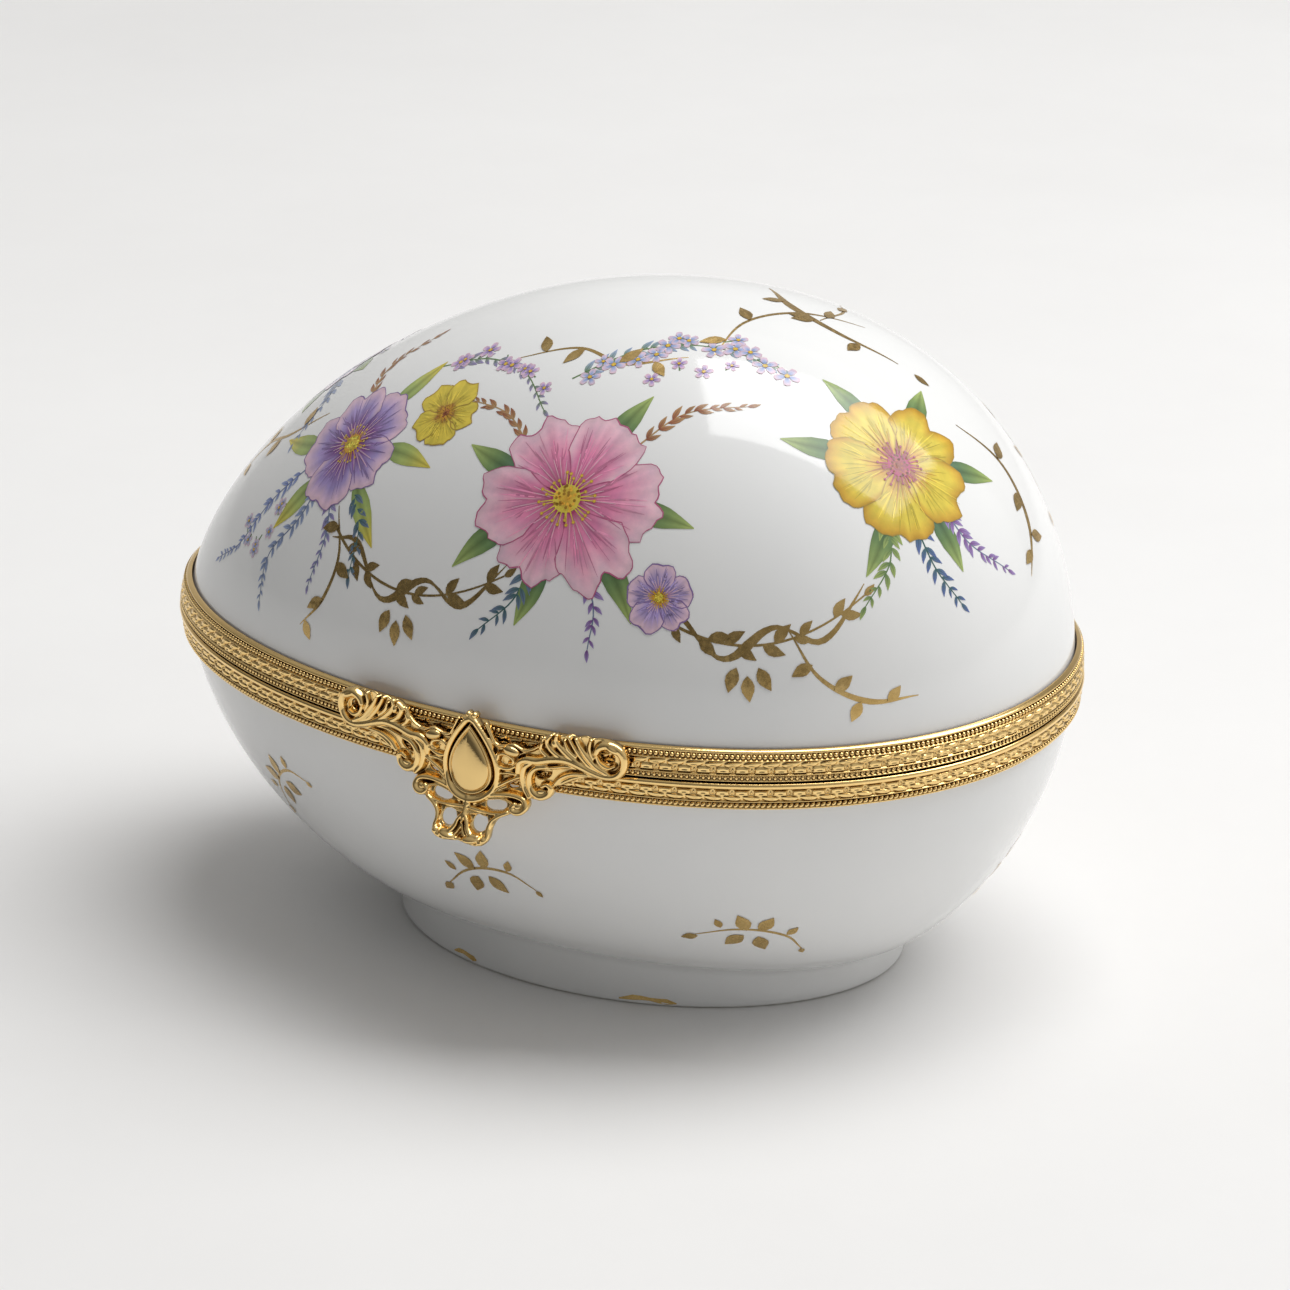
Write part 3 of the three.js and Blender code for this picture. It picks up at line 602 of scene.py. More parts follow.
def teardrop(grow):
    """Outline of the boss, point up, grown outwards by an even margin."""
    a = around(TEARDROP_STEPS)
    side = np.sin(a) * np.abs(np.sin(a / 2)) / TEARDROP_BELLY
    drop = np.stack([BOSS_HALF_WIDTH * side, BOSS_TOP - BOSS_HEIGHT * (1 - np.cos(a)) / 2], -1)
    along = np.roll(drop, -1, 0) - np.roll(drop, 1, 0)
    along /= np.linalg.norm(along, axis=1, keepdims=True)
    return drop + grow * np.stack([-along[:, 1], along[:, 0]], -1)


def ellipse(centre, radii, tilt=0.0):
    a = around(ELLIPSE_STEPS)
    c, s = math.cos(math.radians(tilt)), math.sin(math.radians(tilt))
    x, y = radii[0] * np.cos(a), radii[1] * np.sin(a)
    return np.stack([centre[0] + c * x - s * y, centre[1] + s * x + c * y], -1)


class Relief:
    """Height field of the clasp's right half; the highest form wins and bare ground is zero."""

    def __init__(self, width, bottom, top, step):
        self.s, self.v = np.meshgrid(np.arange(0, width, step), np.arange(bottom, top, step))
        self.height = np.zeros_like(self.s)

    def window(self, points, margin):
        low_s, low_v = np.min(points, axis=0) - margin
        high_s, high_v = np.max(points, axis=0) + margin
        columns = np.flatnonzero((self.s[0] >= low_s) & (self.s[0] <= high_s))
        rows = np.flatnonzero((self.v[:, 0] >= low_v) & (self.v[:, 0] <= high_v))
        return slice(rows[0], rows[-1] + 1), slice(columns[0], columns[-1] + 1)

    def raise_to(self, place, height):
        self.height[place] = np.maximum(self.height[place], height)

    def stroke(self, points, widths, crest, foot=0.35, closed=False):
        """Rounded ridge along a curve; widths are half widths from its start to its end."""
        path = np.vstack([points, points[:1]]) if closed else smooth_curve(points)
        place = self.window(path, max(widths))
        s, v = self.s[place][..., None], self.v[place][..., None]
        step = np.diff(path, axis=0)
        ds, dv = s - path[:-1, 0], v - path[:-1, 1]
        along = np.clip((ds * step[:, 0] + dv * step[:, 1]) / (step**2).sum(1), 0, 1)
        distance = np.hypot(ds - along * step[:, 0], dv - along * step[:, 1])
        nearest = distance.argmin(-1)[..., None]
        t = (np.take_along_axis(along, nearest, -1) + nearest)[..., 0] / len(step)
        distance = np.take_along_axis(distance, nearest, -1)[..., 0]
        width = np.interp(t, np.linspace(0, 1, len(widths)), widths)
        across = np.clip(distance / width, 0, 1)
        form = np.sqrt(1 - across**2)
        height = crest * (foot + (1 - foot) * form)
        self.raise_to(place, np.where(distance < width, height, 0))

    def fill(self, border, height):
        place = self.window(border, 0)
        s, v = self.s[place], self.v[place]
        inside = np.zeros(s.shape, bool)
        for (s0, v0), (s1, v1) in zip(border, np.roll(border, -1, 0)):
            if v0 != v1:
                crossing = s0 + (v - v0) * (s1 - s0) / (v1 - v0)
                inside ^= ((v0 > v) != (v1 > v)) & (s < crossing)
        self.raise_to(place, np.where(inside, height, 0))

    def reach(self, centre, radii, tilt):
        """Squared distance from the centre, 1 at the ellipse's edge."""
        a = math.radians(tilt)
        ds, dv = self.s - centre[0], self.v - centre[1]
        x = (math.cos(a) * ds + math.sin(a) * dv) / radii[0]
        y = (math.cos(a) * dv - math.sin(a) * ds) / radii[1]
        return x**2 + y**2

    def dome(self, centre, radii, crest, tilt):
        reach = self.reach(centre, radii, tilt)
        form = np.sqrt(np.clip(1 - reach, 0, 1))
        self.raise_to(slice(None), np.where(reach < 1, crest * (DOME_FOOT + (1 - DOME_FOOT) * form), 0))

    def hole(self, centre, radii, tilt):
        self.height[self.reach(centre, radii, tilt) < 1] = 0

    def soften(self):
        """Rounds the forms a little, within the outline."""
        inside = (self.height > 0).astype(float)
        for axis in (0, 1):
            def blur(field):
                return (np.roll(field, 1, axis) + 2 * field + np.roll(field, -1, axis)) / 4
            self.height = blur(self.height) / np.maximum(blur(inside), 1e-6) * inside

    def skin(self):
        """Both halves as (s, v, height) arrays."""
        def both(field, sign=1):
            return np.concatenate([sign * field[:, :0:-1], field], 1)
        return both(self.s, -1), both(self.v), both(self.height)


ARM_PLATE = [(3.2, 3.0), (5.0, 2.1), (6.7, 2.6), (8.3, 2.2), (9.8, 2.5), (11.0, 3.4), (11.7, 4.9),
             (12.8, 5.7), (14.2, 5.4), (15.4, 5.9), (16.6, 5.6), (17.6, 5.9), (18.8, 5.7), (20.2, 5.8),
             (21.8, 5.6), (23.2, 4.6), (23.9, 3.0), (23.6, 1.2), (22.4, 0.0), (20.6, -0.6), (18.2, -0.5),
             (16.4, -1.2), (14.6, -2.2), (13.2, -2.6), (12.9, -3.6), (11.8, -4.7), (10.2, -5.1),
             (8.6, -4.9), (7.4, -4.4), (3.0, -5.4), (1.0, 0.0)]
PENDANT_PLATE = [(-0.5, -4.8), (4.0, -4.9), (6.0, -4.5), (8.2, -4.6), (9.4, -5.2), (9.6, -6.2),
                 (8.9, -7.2), (7.6, -7.6), (6.4, -7.5), (5.6, -8.2), (4.9, -9.0), (4.6, -10.0),
                 (4.6, -11.0), (4.2, -11.9), (3.1, -12.35), (1.8, -12.3), (0.7, -12.1), (0.0, -11.9),
                 (-0.5, -12.0)]
# Ridges as points, half widths from start to end, and crest height
ARM_RIDGES = [
    ([(7.5, -1.2), (7.8, 0.3), (8.9, 0.95), (10.6, 1.0), (12.8, 1.65), (15.0, 1.85), (17.0, 1.25),
     (18.8, 0.55), (20.6, 0.1), (22.2, 0.35), (23.2, 1.5), (23.35, 3.0), (22.6, 4.3), (21.1, 4.9),
     (19.9, 4.5), (19.4, 3.6)], (0.5, 0.75, 0.75, 0.6, 0.62, 0.8, 0.5), 1.5),
    ([(19.4, 3.2), (19.9, 2.1), (21.0, 1.5), (22.0, 1.9)], (0.35, 0.5, 0.3), 1.25),
    ([(20.9, 0.6), (19.3, 1.5), (18.0, 2.9), (17.0, 4.4), (16.5, 5.4)], (0.5, 0.55, 0.3), 1.4),
    ([(19.6, 0.8), (18.2, 1.6), (17.0, 2.9), (16.1, 4.2), (15.4, 5.5)], (0.45, 0.5, 0.3), 1.25),
    ([(18.9, 2.7), (18.4, 4.0), (18.6, 5.4)], (0.35, 0.4, 0.3), 1.1),
    ([(17.4, 1.3), (15.7, 2.3), (14.3, 3.5), (13.5, 4.6), (13.6, 5.5)], (0.5, 0.6, 0.35), 1.35),
    ([(16.3, 2.6), (15.2, 3.6), (14.7, 4.8)], (0.35, 0.4, 0.25), 1.1),
    ([(15.0, 1.9), (13.6, 2.5), (12.6, 3.3), (12.1, 4.4), (12.7, 5.3)], (0.5, 0.55, 0.35), 1.35),
    ([(12.8, 1.7), (11.7, 2.3), (11.1, 3.0), (11.3, 3.9)], (0.45, 0.45, 0.3), 1.2),
    ([(2.3, 5.2), (3.0, 3.8), (3.8, 2.5), (5.0, 2.3), (6.7, 2.75), (8.3, 2.25), (9.7, 2.6), (10.9, 3.5),
     (11.5, 4.7)], (0.3, 0.28, 0.28), 0.95),
    ([(21.0, -0.25), (18.4, 0.0), (16.0, -0.15), (14.3, -0.95), (13.3, -2.1)], (0.3, 0.42, 0.5), 1.2),
    ([(18.0, -0.25), (16.2, -0.75), (14.8, -1.5), (13.9, -2.1)], (0.3, 0.4, 0.3), 1.0),
    ([(17.0, 0.75), (15.0, 0.85), (13.2, 0.45), (12.0, 0.2)], (0.3, 0.4, 0.3), 1.15),
    ([(9.6, 0.6), (8.6, -0.3), (8.25, -1.8), (8.6, -3.4), (9.4, -4.5)], (0.5, 0.6, 0.6, 0.5), 1.5),
    ([(11.9, 0.35), (10.4, -0.1), (9.5, -1.2), (9.3, -2.6), (9.8, -3.8), (11.0, -4.35), (12.2, -3.9),
     (12.6, -2.9), (12.0, -2.4), (11.3, -2.8)], (0.45, 0.6, 0.65, 0.6, 0.35), 1.5),
    ([(4.3, 0.3), (4.6, 1.0), (5.6, 1.2), (6.6, 0.8), (6.8, 0.1), (6.1, -0.2)], (0.35, 0.42, 0.3), 1.25),
    ([(4.4, -0.8), (5.2, -1.1), (6.2, -0.95), (7.1, -0.4)], (0.35, 0.45, 0.35), 1.2),
    ([(5.0, -1.9), (6.0, -1.7), (7.2, -1.7)], (0.3, 0.4, 0.35), 1.1),
    ([(7.6, -2.0), (6.2, -2.8), (4.6, -3.8), (3.0, -4.8), (1.5, -5.5), (0.0, -5.9)], (0.35, 0.45, 0.4),
     1.35),
    ([(5.6, -3.9), (4.4, -4.5), (3.0, -5.4), (1.2, -6.2)], (0.3, 0.35, 0.35), 1.1),
]
PENDANT_RIDGES = [
    ([(0.6, -6.6), (2.0, -5.8), (3.8, -5.2), (5.6, -4.9), (7.4, -4.85), (8.7, -5.2), (9.1, -6.1),
     (8.5, -6.8), (7.5, -6.9), (7.0, -6.4), (7.4, -5.9)], (0.45, 0.45, 0.5, 0.55, 0.4), 1.4),
    ([(1.2, -6.9), (2.6, -6.1), (4.2, -5.65), (5.6, -5.55), (6.9, -5.85)], (0.3, 0.28, 0.26), 1.2),
    ([(0.6, -7.5), (2.4, -7.6), (4.4, -7.65), (6.3, -7.3)], (0.4, 0.28, 0.32), 1.2),
    ([(6.5, -7.2), (5.4, -7.8), (4.5, -8.6), (4.15, -9.6), (4.25, -10.6), (4.0, -11.4), (3.3, -11.7)],
     (0.45, 0.38, 0.4, 0.5), 1.35),
    ([(0.1, -8.0), (1.0, -8.15), (2.2, -7.95), (3.2, -8.1)], (0.3, 0.25, 0.25), 1.05),
    ([(0.0, -6.0), (0.0, -7.4), (0.0, -9.4)], (0.55, 0.42, 0.3), 1.55),
    ([(0.15, -8.3), (0.75, -9.3), (1.05, -10.2), (1.7, -10.9), (2.8, -11.0)], (0.32, 0.42, 0.5, 0.4),
     1.5),
    ([(0.0, -9.6), (0.35, -10.6), (0.9, -11.4)], (0.25, 0.3, 0.3), 1.2),
    ([(0.0, -11.8), (1.3, -12.0), (2.6, -12.1), (3.7, -11.9)], (0.3, 0.3, 0.3), 1.1),
]
# Openings as centre, radii and tilt
CLASP_HOLES = [
    ((20.8, 3.0), (1.15, 0.8), -25),
    ((11.35, -0.95), (1.3, 0.75), 30),
    ((6.7, -3.55), (0.9, 0.42), 20),
    ((4.4, -6.6), (1.6, 0.8), 4),
    ((2.55, -9.4), (1.15, 1.15), -12),
]
# Leaves and pearls as centre, radii, crest height and tilt
CLASP_DOMES = [
    ((13.2, 4.2), (0.5, 0.75), 1.5, 20),
    ((21.8, 4.5), (1.3, 0.6), 1.75, -28),
    ((11.2, -3.6), (1.0, 0.5), 1.35, 10),
    ((8.0, -6.1), (0.75, 0.5), 1.3, 20),
    ((1.9, -11.5), (1.45, 0.6), 1.85, 8),
    ((3.9, -11.2), (0.62, 0.62), 1.6, 0),
    ((0.0, -7.0), (0.75, 0.5), 1.5, 0),
    ((0.5, 6.25), (0.55, 0.55), 1.3, 0),
] + [((4.25 - 0.16 * k, -1.9 - 0.42 * k), (0.24, 0.24), 1.15, 0) for k in (3, 4)]

RELIEF_EXTENT = (24.3, -12.8, 7.2)
RELIEF_STEP = 0.085
COLLAR_CREST = 1.6
LEAST_HEIGHT = 0.05
RIM_SMOOTHING = 4
RIM_HEIGHT = 0.8


def clasp_relief():
    relief = Relief(*RELIEF_EXTENT, RELIEF_STEP)
    relief.fill(smooth_curve(ARM_PLATE + ARM_PLATE[:1], 240), PLATE)
    relief.fill(smooth_curve(PENDANT_PLATE, 200), PLATE)
    relief.fill(teardrop(BOSS_FIT + 2 * COLLAR_RADIUS), SHIELD_PLATE)
    for hole in CLASP_HOLES:
        relief.hole(*hole)
    for ridge in ARM_RIDGES + PENDANT_RIDGES:
        relief.stroke(*ridge)
    for dome in CLASP_DOMES:
        relief.dome(*dome)
    collar = teardrop(BOSS_FIT + COLLAR_RADIUS)
    relief.stroke(collar, (COLLAR_RADIUS, COLLAR_RADIUS), COLLAR_CREST, foot=0.5, closed=True)
    relief.soften()
    return relief.skin()


def clasp_ornament():
    """Closed body from the relief: skin, side walls and flat back."""
    s, v, height = clasp_relief()
    inside = height > LEAST_HEIGHT
    columns = inside.shape[1]
    keep = inside[:-1, :-1] & inside[:-1, 1:] & inside[1:, :-1] & inside[1:, 1:]
    i, j = np.nonzero(keep)
    corner = i * columns + j
    quads = np.stack([corner, corner + 1, corner + columns + 1, corner + columns], -1)
    used, quads = np.unique(quads, return_inverse=True)
    quads = quads.reshape(-1, 4)
    place = np.stack([s.ravel()[used], v.ravel()[used]], -1)
    height = height.ravel()[used]
    count = len(used)
    edges = np.concatenate([quads[:, [k, (k + 1) % 4]] for k in range(4)])
    key = edges[:, 0] * count + edges[:, 1]
    back_key = edges[:, 1] * count + edges[:, 0]
    rim = edges[~np.isin(key, back_key)]
    for _ in range(RIM_SMOOTHING):
        total = np.zeros_like(place)
        seen = np.zeros(count)
        for a, b in ((0, 1), (1, 0)):
            np.add.at(total, rim[:, a], place[rim[:, b]])
            np.add.at(seen, rim[:, a], 1)
        on_rim = seen > 0
        place[on_rim] = place[on_rim] / 2 + total[on_rim] / seen[on_rim, None] / 2
    height[on_rim] *= RIM_HEIGHT
    top = bent(place[:, 0], place[:, 1], height)
    back = bent(place[:, 0], place[:, 1], 0 * height)
    walls = np.stack([rim[:, 1], rim[:, 0], rim[:, 0] + count, rim[:, 1] + count], -1)
    faces = np.concatenate([quads, quads[:, ::-1] + count, walls]).tolist()
    return mesh_piece("clasp_scrollwork", np.concatenate([top, back]), faces, GILT)


def levels_piece(name, levels, material):
    """Closed piece in the clasp drawing from outlines, each with its depth, back to front."""
    rows = [bent(points[:, 0], points[:, 1], depth) for points, depth in levels]
    start, end = rows[0].mean(0), rows[-1].mean(0)
    return mesh_piece(name, *capped(rows, start, end), material)


def clasp_boss():
    middle = np.array([0.0, BOSS_TOP - BOSS_HEIGHT * BOSS_BELLY])
    seat = SHIELD_PLATE + BOSS_FIT
    brim, cushion = 0.34, 0.9
    profile = [(1.0, 0.0), (1.0, brim), (0.985, 0.46), (0.955, 0.5), (0.925, 0.45), (0.905, brim)]
    for a in np.linspace(0.12, 1.55, 16):
        profile.append((cushion * math.cos(a), brim + (BOSS_RISE - brim) * math.sin(a)))
    drop = teardrop(0.0)
    levels = [(middle + (drop - middle) * scale, seat + rise) for scale, rise in profile]
    return levels_piece("clasp_boss", levels, POLISHED_GILT)


def domed_levels(centre, head, seat, crown, shank, tilt=0.0):
    """Outlines and depths of a domed head on a round shank."""
    levels = [(ellipse(centre, (shank, shank)), depth) for depth in (SHANK_END, seat)]
    levels.append((ellipse(centre, (head[0] * 0.96, head[1] * 0.96), tilt), seat))
    for a in np.linspace(0.05, 1.5, 12):
        radii = (head[0] * math.cos(a), head[1] * math.cos(a))
        levels.append((ellipse(centre, radii, tilt), seat + (crown - seat) * math.sin(a)))
    return levels


def clasp_pieces():
    ornament = clasp_ornament()
    boss = clasp_boss()
    pieces = [(ornament, "lid", "clasp_ornament"), (boss, "lid", "clasp_teardrop")]
    for name, way in (("left", -1), ("right", 1)):
        centre = (way * SHOULDER_AT[0], SHOULDER_AT[1])
        levels = domed_levels(centre, SHOULDER_RADII, SHIELD_PLATE + 0.1, SHOULDER_CREST, SHOULDER_SHANK,
                              way * SHOULDER_TILT)
        shoulder = levels_piece(f"clasp_shoulder_{name}", levels, POLISHED_GILT)
        pieces.append((shoulder, "lid", f"clasp_rivet_{name}"))
    stud = domed_levels(STUD_AT, (STUD_HEAD, STUD_HEAD), STUD_SEAT, CATCH_DEPTH, STUD_SHANK)
    pieces.append((levels_piece("catch_stud_head", stud, POLISHED_GILT), "base", "catch_stud"))
    for piece, body, node in pieces:
        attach(piece, body)
        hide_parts(node)


clasp_pieces()


# Hinge at the back

KNUCKLES = 5
KNUCKLE_RADIUS = 1.8
KNUCKLE_LENGTH = 4.2
KNUCKLE_GAP = 0.2
PIN_RADIUS = 0.8
PIN_CLEARANCE = 0.08
PIN_END = 0.5
TUBE_STEPS = 48
TUBE_EDGE = 0.22
GROOVE_PLACES = (-1.3, 1.3)
GROOVE = ((-0.14, 0), (-0.07, 0.05), (0, 0.07), (0.07, 0.05), (0.14, 0))
HINGE_Y = (hinge["pos_m"][1] - PLAN[1]) / MM
HINGE_HALF = (KNUCKLES * KNUCKLE_LENGTH + (KNUCKLES - 1) * KNUCKLE_GAP) / 2


def turned_rows(profile):
    """Rows round the hinge axis from (x, radius) pairs."""
    a = -around(TUBE_STEPS)

    def ring(x, r):
        return np.stack([AXIS_X + x + 0 * a, HINGE_Y + r * np.cos(a), PARTING_Z + r * np.sin(a)], -1)

    return [ring(x, r) for x, r in profile]


def hinge_pieces():
    half = KNUCKLE_LENGTH / 2
    bore = PIN_RADIUS + PIN_CLEARANCE
    rim = arc((half - TUBE_EDGE, KNUCKLE_RADIUS - TUBE_EDGE), TUBE_EDGE, 90, 0, 5)
    grooves = [(centre + x, KNUCKLE_RADIUS - dip) for centre in GROOVE_PLACES for x, dip in GROOVE]
    face = [(-x, r) for x, r in rim[::-1]] + grooves + rim
    for i in range(KNUCKLES):
        shift = (i - (KNUCKLES - 1) / 2) * (KNUCKLE_LENGTH + KNUCKLE_GAP)
        profile = [(-half, bore)] + face + [(half, bore)]
        rows = turned_rows([(shift + x, r) for x, r in profile])
        faces = grid_faces(len(rows), TUBE_STEPS, closed_rows=True)
        piece = mesh_piece(f"hinge_tube_{i + 1}", np.concatenate(rows), faces, HINGE_GILT)
        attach(piece, "lid" if i % 2 else "base")
        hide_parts(f"hinge_knuckle_{i + 1}")
    turns = np.linspace(0, 1.45, 8)
    dome = [(HINGE_HALF + PIN_END * math.sin(a), PIN_RADIUS * math.cos(a)) for a in turns]
    profile = [(-x, r) for x, r in dome[::-1]] + dome
    ends = [[AXIS_X + way * (HINGE_HALF + PIN_END), HINGE_Y, PARTING_Z] for way in (-1, 1)]
    pin = mesh_piece("hinge_wire", *capped(turned_rows(profile), *ends), PIN_BRASS)
    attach(pin, "base")
    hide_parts("hinge_pin")
    for node, material in (
        ("base_hinge_bearer", HINGE_GILT),
        ("lid_hinge_bearer", HINGE_GILT),
        ("base_setting_cement", PLASTER),
        ("lid_setting_cement", PLASTER),
    ):
        frame["nodes"][node].material_slots[0].material = material


hinge_pieces()


# Painted and gilded decoration, laid on the glaze as thin patches

PAINT_LIFT = 0.03
PAINT_LAYER = 0.02
STEM, LEAF, PETAL, VEIN, HEART = 0, 1, 2, 4, 5
CHANCE = random.Random(11)
FINE_PETAL = (13, 21)
PLAIN_PETAL = (4, 5)
EDGE_WIDTHS = (0.03, 0.1, 0.05, 0.12, 0.06, 0.11, 0.03)
DISC_SIDES = 14
HATCHES = 16
VEIN_SWINGS = (-0.62, -0.36, -0.12, 0.14, 0.38, 0.6)
STIPPLES = 40
STAMENS = 26
FLAT = (1.0, 1.0)
OUTSIDE = 300 * MM
STRIDE = 5


def tint(red, green, blue):
    """Linear colour of a paint given in display values from 0 to 255."""
    return tuple((c / 255) ** 2.2 for c in (red, green, blue))


LEMON = tint(224, 202, 82)
AMBER = tint(206, 156, 60)
RUST = tint(146, 82, 62)
BLUSH = tint(242, 206, 218)
PINK = tint(228, 138, 176)
CRIMSON = tint(172, 58, 106)
PLUM = tint(126, 80, 144)
LILAC = tint(172, 154, 208)
SKY = tint(168, 184, 222)
COBALT = tint(104, 120, 182)
SLATE = tint(122, 136, 166)
GREEN = tint(108, 136, 90)
LIME = tint(170, 188, 112)
TEAL = tint(74, 108, 106)
STRAW = tint(186, 152, 108)
GOLD = tint(190, 150, 82)


def shaded(colour, shade):
    return tuple(min(1.0, c * shade) for c in colour)


def gradient(stops, t):
    place = t * (len(stops) - 1)
    i = min(int(place), len(stops) - 2) if len(stops) > 1 else 0
    following = stops[min(i + 1, len(stops) - 1)]
    return tuple(a + (b - a) * (place - i) for a, b in zip(stops[i], following))


def heading_vector(degrees):
    return np.array([math.cos(math.radians(degrees)), math.sin(math.radians(degrees))])


class Painting:
    """Patches of paint on one body, drawn in millimetres round an anchor and laid on its skin."""

    def __init__(self, skin_piece):
        mesh = skin_piece.data
        corners = [v.co for v in mesh.vertices]
        self.skin = BVHTree.FromPolygons(corners, [list(p.vertices) for p in mesh.polygons])
        self.points, self.faces, self.colours = [], [], []
        self.layer = 0

    def anchor(self, bearing, elevation, turn=0.0):
        """Sets the place of the drawing's origin as seen from the middle of the egg."""
        out = towards(bearing, elevation)
        middle = Vector(placed((0, 0, PARTING_Z)))
        self.origin, self.normal = self.skin.ray_cast(middle + out * OUTSIDE, -out)[:2]
        east = Vector((0, 0, 1)).cross(self.normal).normalized()
        north = self.normal.cross(east)
        c, s = math.cos(math.radians(turn)), math.sin(math.radians(turn))
        self.right, self.up = east * c + north * s, north * c - east * s

    def on_skin(self, x, y):
        """Point and normal reached by walking over the skin from the anchor."""
        reach = math.hypot(x, y)
        steps = max(1, math.ceil(reach / STRIDE))
        point, normal = self.origin, self.normal
        heading = self.right * x + self.up * y
        if reach:
            heading.normalize()
        for _ in range(steps):
            point, normal = self.skin.find_nearest(point + heading * (reach / steps * MM))[:2]
            heading = heading - normal * heading.dot(normal)
            if heading.length:
                heading.normalize()
        return point, normal

    def patch(self, xy, faces, colours):
        first = len(self.points)
        lift = (PAINT_LIFT + PAINT_LAYER * self.layer) * MM
        for x, y in xy:
            point, normal = self.on_skin(float(x), float(y))
            self.points.append(point + normal * lift)
        self.faces += [[first + k for k in face] for face in faces]
        self.colours += colours

    def strip(self, path, widths, stops, shades=(0.8, 1.0, 0.8), spacing=1.1, layer=STEM):
        """Band along a smooth curve; widths are half widths and stops colours, from start to end."""
        self.layer = layer
        path = np.asarray(path, float)
        length = np.linalg.norm(np.diff(path, axis=0), axis=1).sum()
        count = max(5, round(length / spacing) + 1)
        curve = smooth_curve(path, count)
        along = np.gradient(curve, axis=0)
        along /= np.linalg.norm(along, axis=1, keepdims=True)
        out = np.stack([-along[:, 1], along[:, 0]], -1)
        share = np.linspace(0, 1, count)
        width = np.interp(share, np.linspace(0, 1, len(widths)), widths)
        across = np.linspace(-1, 1, len(shades))
        xy = (curve[:, None] + out[:, None] * (width[:, None] * across)[..., None]).reshape(-1, 2)
        colours = [shaded(gradient(stops, t), shade) for t in share for shade in shades]
        wide = len(shades)
        corner = [i * wide + j for i in range(count - 1) for j in range(wide - 1)]
        self.patch(xy, [(c + 1, c, c + wide, c + wide + 1) for c in corner], colours)

    def leaf(self, at, heading, length, width, stops, bend=0.15, layer=LEAF):
        """Pointed leaf with a darker midrib."""
        ahead = heading_vector(heading)
        side = np.array([-ahead[1], ahead[0]])
        path = [np.asarray(at) + ahead * length * t + side * bend * length * t**2 for t in (0, 0.33, 0.67, 1)]
        widths = np.array([0.05, 0.7, 1.0, 0.9, 0.5, 0.04]) * width / 2
        self.strip(path, widths, stops, (0.86, 1.04, 0.68, 1.1, 0.9), min(1.1, length / 5), layer)

    def petal(self, at, heading, length, half_angle, stops, notch, frill, layer, edge=None):
        """Rounded petal, streaked from its base; a fine one has a thin border in its edge colour."""
        self.layer = layer
        rows, columns = FINE_PETAL if edge else PLAIN_PETAL
        phase = CHANCE.uniform(0, 6)
        streaks = [CHANCE.uniform(0.8, 1.1) for _ in range(columns)]
        xy, colours = [np.asarray(at, float)], [stops[0]]
        for i in range(1, rows + 1):
            t = i / rows
            for j in range(columns):
                q = 2 * j / (columns - 1) - 1
                extent = 1 - 0.42 * abs(q) ** 3 - notch * math.exp(-((q / 0.16) ** 2))
                extent += frill * (math.sin(9 * q + phase) + 0.5 * math.sin(23 * q + 2 * phase))
                reach = length * (t * extent if i < rows else extent)
                angle = heading + half_angle * q * (0.4 + 0.6 * t**0.6)
                xy.append(np.asarray(at) + heading_vector(angle) * reach)
                shade = 1 + (streaks[j] - 1) * (1 - 0.4 * t)
                shade *= 0.86 if i == rows or abs(q) == 1 else 1.0
                colours.append(shaded(gradient(stops, t**1.1), shade))
        faces = [(0, 1 + j, 2 + j) for j in range(columns - 1)]
        for i in range(rows - 1):
            for j in range(columns - 1):
                c = 1 + i * columns + j
                faces.append((c, c + columns, c + columns + 1, c + 1))
        self.patch(xy, faces, colours)
        if edge:
            first, last = xy[1 + 3 * columns :: columns], xy[4 * columns :: columns]
            border = first[:-1] + xy[-columns:] + last[-2::-1]
            self.strip(border, EDGE_WIDTHS, (edge,), FLAT, 0.7, layer + 0.5)

    def disc(self, at, radius, stops, layer=HEART):
        self.layer = layer
        xy, colours = [np.asarray(at, float)], [stops[0]]
        for ring in (0.5, 1.0):
            for j in range(DISC_SIDES):
                a = 2 * math.pi * j / DISC_SIDES
                xy.append(np.asarray(at) + radius * ring * np.array([math.cos(a), math.sin(a)]))
                colours.append(shaded(gradient(stops, ring), CHANCE.uniform(0.8, 1.15)))
        faces = [(0, 1 + j, 1 + (j + 1) % DISC_SIDES) for j in range(DISC_SIDES)]
        faces += [(a, a + DISC_SIDES, b + DISC_SIDES, b) for _, a, b in faces]
        self.patch(xy, faces, colours)

